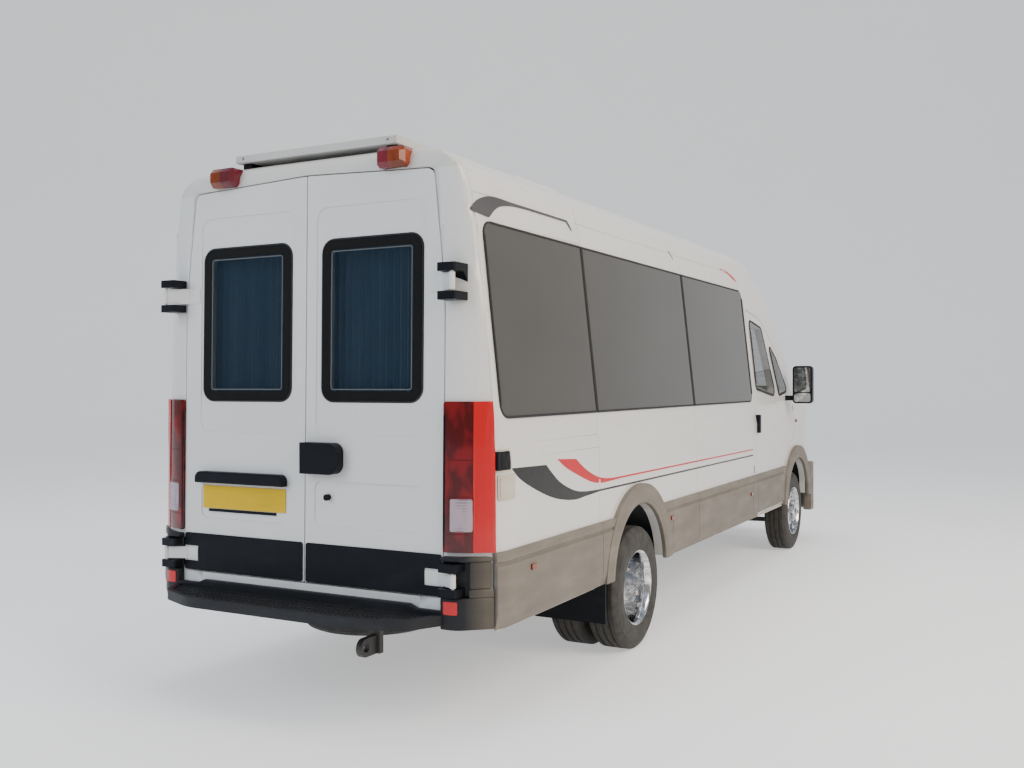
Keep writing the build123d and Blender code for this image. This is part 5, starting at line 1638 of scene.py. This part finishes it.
@dataclass
class Wheels:
    """All wheels and tyres.

    In millimetres: how far out the wheels are, half the distance of the twins, and the spare wheel's place.
    In metres: the radii of the rings of nuts and hand holes, and how far out the holes lie.
    """

    frame: Frame
    front_out: float = 862.0
    rear_out: float = 770.0
    twin_shift: float = 116.0
    spare: Row = (-1200, 0, 390)
    nut_count: int = 6
    front_nuts: float = 0.088
    rear_nuts: float = 0.098
    hole_count: int = 8
    holes: float = 0.150
    holes_out: float = 0.0035
    hole_stretch: tuple[float, float, float, float] = (0.8, 1.0, 1.2, 1.0)

    FRONT_RIM = [
        (27, -26), (128, -26), (128, -14), (62, -14), (62, 44), (110, 44), (150, 26), (186, 20), (186, -82),
        (208, -90), (211, -92), (211, -88), (204, -80), (203, 0), (203, 80), (208, 88), (212, 92), (210, 95),
        (206, 94), (199, 84), (193, 66), (190, 42), (184, 38), (164, 44), (142, 54), (118, 66), (96, 70),
        (70, 70), (66, 74), (64, 100), (56, 108), (27, 108),
    ]
    REAR_OUTER = [
        (2, 84), (48, 84), (56, 80), (60, 30), (78, 22), (118, 14), (146, 22), (166, 34), (180, 62),
        (184, 120), (188, 168), (193, 190), (199, 200), (205, 206), (211, 208), (212, 205), (208, 202),
        (203, 196), (203, 36), (208, 29), (211, 25), (206, 24), (196, 30), (150, 2), (60, 0), (2, 0),
    ]
    REAR_INNER = [
        (60, -8), (150, -8), (196, -30), (206, -24), (211, -25), (208, -29), (203, -36), (203, -196),
        (208, -202), (212, -205), (211, -208), (205, -206), (196, -198), (192, -160), (170, -60), (60, -40),
    ]
    REAR_HUB = [(2, -1), (60, -1), (60, -239.6), (2, -239.6)]
    SPARE_RIM = [(2, 8), (120, 8), (150, 30), (205, 34), (205, 30), (152, 24), (122, 4), (2, 4)]
    FRONT_NUT = [(1, 60), (15, 60), (16, 66), (15, 96), (11, 104), (1, 105)]
    REAR_NUT = [(1, 8), (14, 8), (15, 30), (11, 42), (1, 44)]
    HOLE = [(1, 40), (17, 40), (17, 50), (1, 50)]

    def build(self) -> None:
        """Builds the wheels."""
        for side in Side:
            word, sign = side.word, side.value
            front = van(WHEELBASE, sign * self.front_out, AXLE_Z)
            Tyre(f"front_tyre_{word}", f"front_wheel_{word}", f"front_tyre_{word}", [front]).build()
            outs = (self.rear_out - self.twin_shift, self.rear_out + self.twin_shift)
            rear = [van(0, sign * out, AXLE_Z) for out in outs]
            Tyre(f"rear_tyre_{word}", f"rear_wheels_{word}", f"rear_tyres_{word}", rear).build()
            self.front_rim(side, front)
            self.rear_rim(side, van(0, sign * self.rear_out, AXLE_Z))
        spare = van(*self.spare)
        Tyre("spare_tyre", "van", "spare_wheel", [spare], upright=False).build()
        lying = Matrix.Translation(spare) @ Matrix.Rotation(math.radians(90), 4, "X")
        piece("spare_rim", moved(lying, lathe(self.SPARE_RIM, 64)), STEEL, "van", 35.0)

    @staticmethod
    def turned(rows: list[Point2], side: Side, steps: int) -> Solid:
        """Turns rows of (radius, distance out) about the axle."""
        return lathe([(radius, side.value * out) for radius, out in rows], steps)

    def nuts(self, body: str, rows: list[Point2], side: Side, radius: float, centre: Vector) -> None:
        """A ring of wheel nuts."""
        pattern = Pattern(Layout.RING, self.turned(rows, side, 20), self.nut_count, radius=radius)
        pattern.bake(f"{body}_nuts", CHROME, body, Matrix.Translation(centre), 40.0)

    def front_rim(self, side: Side, centre: Vector) -> None:
        """A front rim with its long nut covers, and black ovals in its hand holes as painted shade."""
        body = f"front_wheel_{side.word}"
        place = Matrix.Translation(centre)
        made = piece(f"{body}_rim", moved(place, self.turned(self.FRONT_RIM, side, 112)), CHROME, body, 32.0)
        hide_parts(body)
        self.nuts(body, self.FRONT_NUT, side, self.front_nuts, centre)
        # The hand holes are black ovals laid on the rim: painted shade in the openings
        oval = moved(Matrix.Diagonal(self.hole_stretch), self.turned(self.HOLE, side, 24))
        holes = Pattern(Layout.RING, oval, self.hole_count, radius=self.holes)
        further = place @ Matrix.Translation((0, side.value * self.holes_out, 0))
        holes.bake(f"{body}_holes", BLACK, body, further, 40.0)

    def rear_rim(self, side: Side, centre: Vector) -> None:
        """A pair of rear rims with a deep outer dish, a hub and nuts."""
        body = f"rear_wheels_{side.word}"
        parts = ((self.REAR_OUTER, 112), (self.REAR_INNER, 96), (self.REAR_HUB, 48))
        rims = joined(self.turned(rows, side, steps) for rows, steps in parts)
        made = piece(f"{body}_rims", moved(Matrix.Translation(centre), rims), CHROME, body, 32.0)
        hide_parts(body)
        self.nuts(body, self.REAR_NUT, side, self.rear_nuts, centre)


@dataclass
class Cabin:
    """What shows through the panes: curtains and dashboard, in millimetres.

    A curtain's folds are deep, vary in depth with a slower wave that fades upwards, and lean to a side.
    """

    frame: Frame
    curtain_ends: Point2 = (40.0, 700.0)
    curtain_heights: Point2 = (1398.0, 2228.0)
    before_rear: float = 64.0
    lean: float = 34.0 / 2276
    folds: int = 17
    fold_deep: float = 9.0
    varied: float = 2.5
    variation: float = 34.0
    fading: float = 0.6
    fold_lean: float = 3.0
    columns: int = 340
    rows: int = 24

    def build(self) -> None:
        """Builds the inside."""
        for side in Side:
            self.curtain(side)
        self.frame.paint(INTERIOR, "dashboard", "floor_pan")

    def curtain(self, side: Side) -> None:
        """A gathered curtain behind one rear pane."""
        (low, high), (bottom, top) = self.curtain_ends, self.curtain_heights
        verts: list[Vector] = []
        for up in (row / self.rows for row in range(self.rows + 1)):
            z = bottom + (top - bottom) * up
            back = REAR_X + self.lean * (z - SILL_Z) + self.before_rear
            for across in (column / self.columns for column in range(self.columns + 1)):
                turn = 2 * math.pi * self.folds * across
                uneven = self.varied * math.sin(self.variation * across) * (1 - self.fading * up)
                deep = self.fold_deep + uneven
                y = low + (high - low) * across + self.fold_lean * math.sin(2 * turn)
                verts.append(van(back + deep * math.sin(turn), side.value * y, z))
        wide = self.columns + 1
        starts = [row * wide + column for row in range(self.rows) for column in range(self.columns)]
        faces = [(start, start + 1, start + wide + 1, start + wide) for start in starts]
        made = piece(f"curtain_{side.word}", (verts, faces), CURTAIN_CLOTH, f"rear_door_{side.word}", 60.0)
        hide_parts(f"rear_curtain_{side.word}")


@dataclass
class Seats:
    """The two cab seats: pads swollen by cloth simulation on a plain base.

    A pad is its corners seen from the side, as (x, z, radius), and half its width, in millimetres, and the
    furthest that its points may move, in metres. The base and the headrest's posts are in millimetres.
    """

    frame: Frame
    out: float = 430.0
    half_base: float = 205.0
    base_ends: Point2 = (2790, 3230)
    base_heights: Point2 = (640, 972)
    posts_out: float = 60.0
    half_post: float = 7.0
    post_ends: Point2 = (2576, 2596)
    post_heights: Point2 = (1670, 1750)
    voxel: float = 0.009
    coarse_voxel: float = 0.02
    pressure: float = 4.0
    last_frame: int = 20

    PADS = {
        "cushion": ([(2752, 972, 30), (3278, 972, 40), (3278, 1078, 40), (2752, 1062, 30)], 233.0, 0.022),
        "back": ([(2778, 1066, 20), (2644, 1688, 24), (2552, 1680, 24), (2672, 1046, 20)], 222.0, 0.022),
        "headrest": ([(2628, 1732, 16), (2600, 1890, 24), (2540, 1882, 24), (2556, 1724, 16)], 118.0, 0.014),
    }

    def build(self) -> None:
        """Makes both seats."""
        for word, (rows, half, cap) in self.PADS.items():
            mesh = self.swollen(rounded(rows), half, cap)
            for side in Side:
                own = mesh.copy()
                own.transform(Matrix.Translation((0, self.out / 1000 * side.value, 0)))
                made = settle(f"seat_{word}_{side.word}", own, SEAT_CLOTH, "van", 80.0)
                finer = made.modifiers.new("finer", "SUBSURF")
                finer.levels = finer.render_levels = 1
                self.frame.stand_in(made, "seats")
        for side in Side:
            self.base(side)

    def base(self, side: Side) -> None:
        """A seat's box and the two posts of its headrest."""
        middle = self.out * side.value
        post = (self.half_post, self.post_ends, self.post_heights)
        parts = (
            (middle, self.half_base, self.base_ends, self.base_heights),
            (middle - self.posts_out, *post),
            (middle + self.posts_out, *post),
        )
        boxes = [
            solid_box(van(back, y - half, bottom), van(front, y + half, top))
            for y, half, (back, front), (bottom, top) in parts
        ]
        made = piece(f"seat_base_{side.word}", joined(boxes), INTERIOR, "van")
        soften(made, 0.004)
        self.frame.stand_in(made, "seats")

    def swollen(self, outline: list[Point2], half: float, cap: float) -> bpy.types.Mesh:
        """A pad's mesh about the middle plane, swollen by cloth simulation.

        Args:
            outline: Its outline seen from the side, in millimetres.
            half: Half its width, in millimetres.
            cap: The furthest that a point may move, in metres.

        Returns:
            The mesh.
        """
        mesh = bpy.data.meshes.new("pad")
        verts, faces = between(*([van(x, y, z) for x, z in outline] for y in (-half, half)))
        mesh.from_pydata([tuple(vert) for vert in verts], [], faces)
        pad = bpy.data.objects.new("pad", mesh)
        scene = bpy.context.scene
        scene.collection.objects.link(pad)
        remesh = pad.modifiers.new("voxels", "REMESH")
        remesh.mode, remesh.voxel_size = "VOXEL", self.voxel
        fine = baked(pad)
        pad.modifiers.clear()
        pad.data = fine
        flat = [vertex.co.copy() for vertex in fine.vertices]
        cloth = pad.modifiers.new("cloth", "CLOTH")
        cloth.settings.use_pressure = True
        cloth.settings.uniform_pressure_force = self.pressure
        cloth.settings.effector_weights.gravity = 0.0
        cloth.point_cache.frame_start, cloth.point_cache.frame_end = 1, self.last_frame
        for frame in range(1, self.last_frame + 1):
            scene.frame_set(frame)
        fine = baked(pad)
        for vertex, start in zip(fine.vertices, flat):
            move = vertex.co - start
            vertex.co = start + move * min(1.0, cap / max(move.length, 1e-9))
        scene.frame_set(1)
        bpy.data.objects.remove(pad)
        return fine


@dataclass
class Roof:
    """The solar panel: frame, rails under it, glass, the lines between its cells and its screws.

    All is in millimetres, apart from a cell line's half width, half length and half thickness, in metres.
    """

    frame: Frame
    ends: Point2 = (-1668, -752)
    sides: Point2 = (-466, 490)
    heights: Point2 = (2602, 2639)
    rails: Point2 = (-420, 440)
    half_rail: float = 26.0
    rail_ends: Point2 = (-1640, -780)
    rail_heights: Point2 = (2560, 2604)
    rim: float = 16.0
    glass_heights: Point2 = (2638.6, 2640.6)
    lines: int = 8
    line_pitch: float = 110.0
    line_m: Row = (0.0012, 0.46, 0.0004)
    first_line: Row = (-1595, 12, 2641)
    screw_span: float = 860.0
    first_screw: Row = (-1667.5, -418, 2622)

    SCREW = [(0.2, 0), (6, 0), (6, 2), (0.2, 3)]

    def build(self) -> None:
        """Makes the panel."""
        (back, front), (right, left), (bottom, top) = self.ends, self.sides, self.heights
        rim = solid_box(van(back, right, bottom), van(front, left, top))
        made = piece("solar_frame", rim, ALUMINIUM, "van")
        soften(made, 0.002)
        self.frame.stand_in(made, "solar_panel")
        (rail_back, rail_front), (rail_bottom, rail_top) = self.rail_ends, self.rail_heights
        for number, y in enumerate(self.rails):
            low = van(rail_back, y - self.half_rail, rail_bottom)
            high = van(rail_front, y + self.half_rail, rail_top)
            piece(f"solar_rail_{number}", solid_box(low, high), BLACK, "van")
        bottom, top = self.glass_heights
        low = van(back + self.rim, right + self.rim, bottom)
        high = van(front - self.rim, left - self.rim, top)
        piece("solar_glass", solid_box(low, high), SOLAR, "van")
        half_wide, half_long, half_thick = self.line_m
        line = block(half_wide, half_long, -half_thick, half_thick)
        pattern = Pattern(Layout.LINE, line, self.lines, Vector((self.line_pitch / 1000, 0, 0)))
        pattern.bake("solar_cell_lines", ALUMINIUM, "van", Matrix.Translation(van(*self.first_line)))
        screw = moved(Matrix.Rotation(math.radians(90), 4, "Z"), lathe(self.SCREW, 16))
        pattern = Pattern(Layout.LINE, screw, 2, Vector((0, self.screw_span / 1000, 0)))
        pattern.bake("solar_screws", STEEL, "van", Matrix.Translation(van(*self.first_screw)))


@dataclass
class Mirrors:
    """The glasses of the two door mirrors, in millimetres."""

    depths: Point2 = (3559.2, 3562.0)
    ends: Point2 = (1051, 1191)
    radius: float = 16.0

    GLASSES = {"upper": (1428, 1640), "lower": (1342, 1418)}

    def build(self) -> None:
        """Adds an upper and a lower glass to each mirror."""
        for side in Side:
            for word, heights in self.GLASSES.items():
                rows = plate(*self.ends, *heights, self.radius)
                glass = between(*([van(x, side.value * y, z) for y, z in rows] for x in self.depths))
                piece(f"mirror_{word}_{side.word}", glass, MIRROR, f"front_door_{side.word}")


@dataclass
class Underside:
    """The running gear's finishes."""

    frame: Frame

    def build(self) -> None:
        """Paints the underside."""
        self.frame.paint(CHASSIS, "chassis_frame", "cross_members", "front_crossmember")
        self.frame.paint(IRON, "rear_axle", "engine", "knuckle_left", "knuckle_right")
        self.frame.paint(STEEL, "exhaust")
        self.frame.paint(BLACK, "fuel_tank", "front_arch_liners", "rear_arch_liners")


@dataclass
class Studio:
    """Floor, lights, world and camera, in metres and degrees."""

    floor_ends: Point2 = (-40.0, 18.0)
    bend: float = 8.0
    bend_steps: int = 16
    backdrop_top: float = 30.0
    half_floor: float = 45.0
    floor_turn: float = 28.0
    floor_glow: float = 0.5
    sky_strength: float = 0.62
    camera_place: Row = (-7.017, -3.119, 1.520)
    camera_turn: Row = (28.06, -0.11, -0.14)
    focal_mm: float = 36.35

    SKY = [
        (0.0, (0.42, 0.40, 0.38)),
        (0.49, (0.5, 0.47, 0.44)),
        (0.52, (0.95, 0.9, 0.85)),
        (0.8, (0.62, 0.72, 0.86)),
    ]

    def build(self) -> None:
        """Sets the stage."""
        self.floor()
        self.world()
        warm, cool = (1.0, 0.86, 0.70), (0.76, 0.87, 1.0)
        self.light("key", (-3.0, -9.0, 6.5), (0.0, 0.0, 1.2), size=6.0, power=900.0, colour=warm)
        self.light("fill", (-10.0, 4.0, 5.0), (-2.0, 0.0, 1.2), size=6.0, power=420.0, colour=cool)
        self.light("top", (0.0, 0.0, 9.0), (0.0, 0.0, 0.0), size=8.0, power=420.0, colour=FULL)
        self.camera()

    def floor(self) -> None:
        """A pale floor that curves up into a backdrop."""
        start, end = self.floor_ends
        rows = [(start, 0.0), (end, 0.0)]
        turns = [math.pi / 2 * step / self.bend_steps for step in range(1, self.bend_steps + 1)]
        rows += [(end + self.bend * math.sin(t), self.bend - self.bend * math.cos(t)) for t in turns]
        rows.append((end + self.bend, self.backdrop_top))
        turn = Matrix.Rotation(math.radians(self.floor_turn), 4, "Z")
        wide = (-self.half_floor, self.half_floor)
        verts = [turn @ Vector((along, out, up)) for along, up in rows for out in wide]
        faces = [(2 * i, 2 * i + 2, 2 * i + 3, 2 * i + 1) for i in range(len(rows) - 1)]
        mesh = bpy.data.meshes.new("floor")
        mesh.from_pydata([tuple(vert) for vert in verts], [], faces)
        graph = Graph("floor_paper")
        paper = graph.ramp(graph.noise(0.6, 2.0), [(0.3, (0.78, 0.78, 0.78)), (0.7, (0.8, 0.8, 0.8))])
        graph.feed("Base Color", paper)
        graph.fix(Roughness=0.9, Emission_Color=(1.0, 1.0, 1.0, 1.0))
        path = graph.node("ShaderNodeLightPath")
        seen = graph.maths("MAXIMUM", path.outputs["Is Camera Ray"], path.outputs["Is Glossy Ray"])
        seen = graph.maths("MAXIMUM", seen, path.outputs["Is Transmission Ray"])
        graph.feed("Emission Strength", graph.maths("MULTIPLY", seen, self.floor_glow))
        mesh.materials.append(graph.material)
        mesh.polygons.foreach_set("use_smooth", [True] * len(mesh.polygons))
        made = bpy.data.objects.new("floor", mesh)
        bpy.context.scene.collection.objects.link(made)

    def world(self) -> None:
        """An even sky for the light and a white background for the camera."""
        world = bpy.data.worlds.new("studio")
        bpy.context.scene.world = world
        world.use_nodes = True
        world.node_tree.nodes.clear()
        tree = Tree(world.node_tree)
        place = tree.node("ShaderNodeTexCoord").outputs["Generated"]
        height = tree.node("ShaderNodeSeparateXYZ", Vector=place).outputs["Z"]
        share = tree.node("ShaderNodeMapRange", Value=height, From_Min=-1.0).outputs["Result"]
        sky = tree.node("ShaderNodeBackground", Color=tree.ramp(share, self.SKY), Strength=self.sky_strength)
        plain = tree.node("ShaderNodeBackground", Color=(1.0, 1.0, 1.0, 1.0))
        path = tree.node("ShaderNodeLightPath")
        mix = tree.node("ShaderNodeMixShader")
        for index, source in enumerate((path.outputs["Is Camera Ray"], sky.outputs[0], plain.outputs[0])):
            tree.join(source, mix.inputs[index])
        tree.node("ShaderNodeOutputWorld", Surface=mix.outputs[0])

    @staticmethod
    def light(name: str, place: Row, target: Row, size: float, power: float, colour: Colour) -> None:
        """Adds a soft area light that faces a point, and that only the key's reflections show."""
        data = bpy.data.lights.new(name, "AREA")
        data.energy, data.size, data.color = power, size, colour
        made = bpy.data.objects.new(name, data)
        made.location = place
        made.visible_glossy = name == "key"
        made.rotation_euler = (Vector(target) - Vector(place)).to_track_quat("-Z", "Y").to_euler()
        bpy.context.scene.collection.objects.link(made)

    def camera(self) -> None:
        """The camera, where the photograph was taken from."""
        data = bpy.data.cameras.new("camera")
        data.lens, data.sensor_width = self.focal_mm, 36.0
        made = bpy.data.objects.new("camera", data)
        made.location = self.camera_place
        yaw, pitch, roll = (math.radians(value) for value in self.camera_turn)
        ahead = Vector((math.cos(yaw) * math.cos(pitch), math.sin(yaw) * math.cos(pitch), math.sin(pitch)))
        level = ahead.to_track_quat("-Z", "Y").to_matrix()
        made.rotation_euler = (level @ Matrix.Rotation(roll, 3, "Z")).to_euler()
        bpy.context.scene.collection.objects.link(made)
        bpy.context.scene.camera = made


def main() -> None:
    """Builds the dressed van."""
    logging.basicConfig(level=logging.INFO, format="%(message)s")
    frame = Frame()
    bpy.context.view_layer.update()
    Panels(frame).build()
    RearBumper(frame).build()
    walls = Skin(frame.shown, [
        "side_panel_right", "side_panel_left", "sliding_door", "roof_panel", "rear_portal", "cab_frame",
        "front_wings", "front_door_right", "front_door_left",
    ])
    rears = Skin(frame.shown, [
        "rear_portal", "rear_door_left", "rear_door_right", "rear_door_glass_left", "rear_door_glass_right",
        "rear_bumper",
    ])
    glass = Skin(frame.nodes, [
        "side_glass", "windscreen", "front_door_glass_left", "front_door_glass_right", "rear_door_glass_left",
        "rear_door_glass_right", "side_panel_right", "side_panel_left", "sliding_door", "cab_frame",
        "front_door_right", "front_door_left", "rear_door_left", "rear_door_right",
    ])
    builders = [
        Glass(frame, glass), Stripes(walls), Lamps(frame, rears), SideFittings(walls), Wheels(frame),
        Cabin(frame), Seats(frame), Roof(frame), Mirrors(), Underside(frame), Studio(),
    ]
    for builder in builders:
        LOG.info("building %s", type(builder).__name__)
        builder.build()


if __name__ == "__main__":
    main()
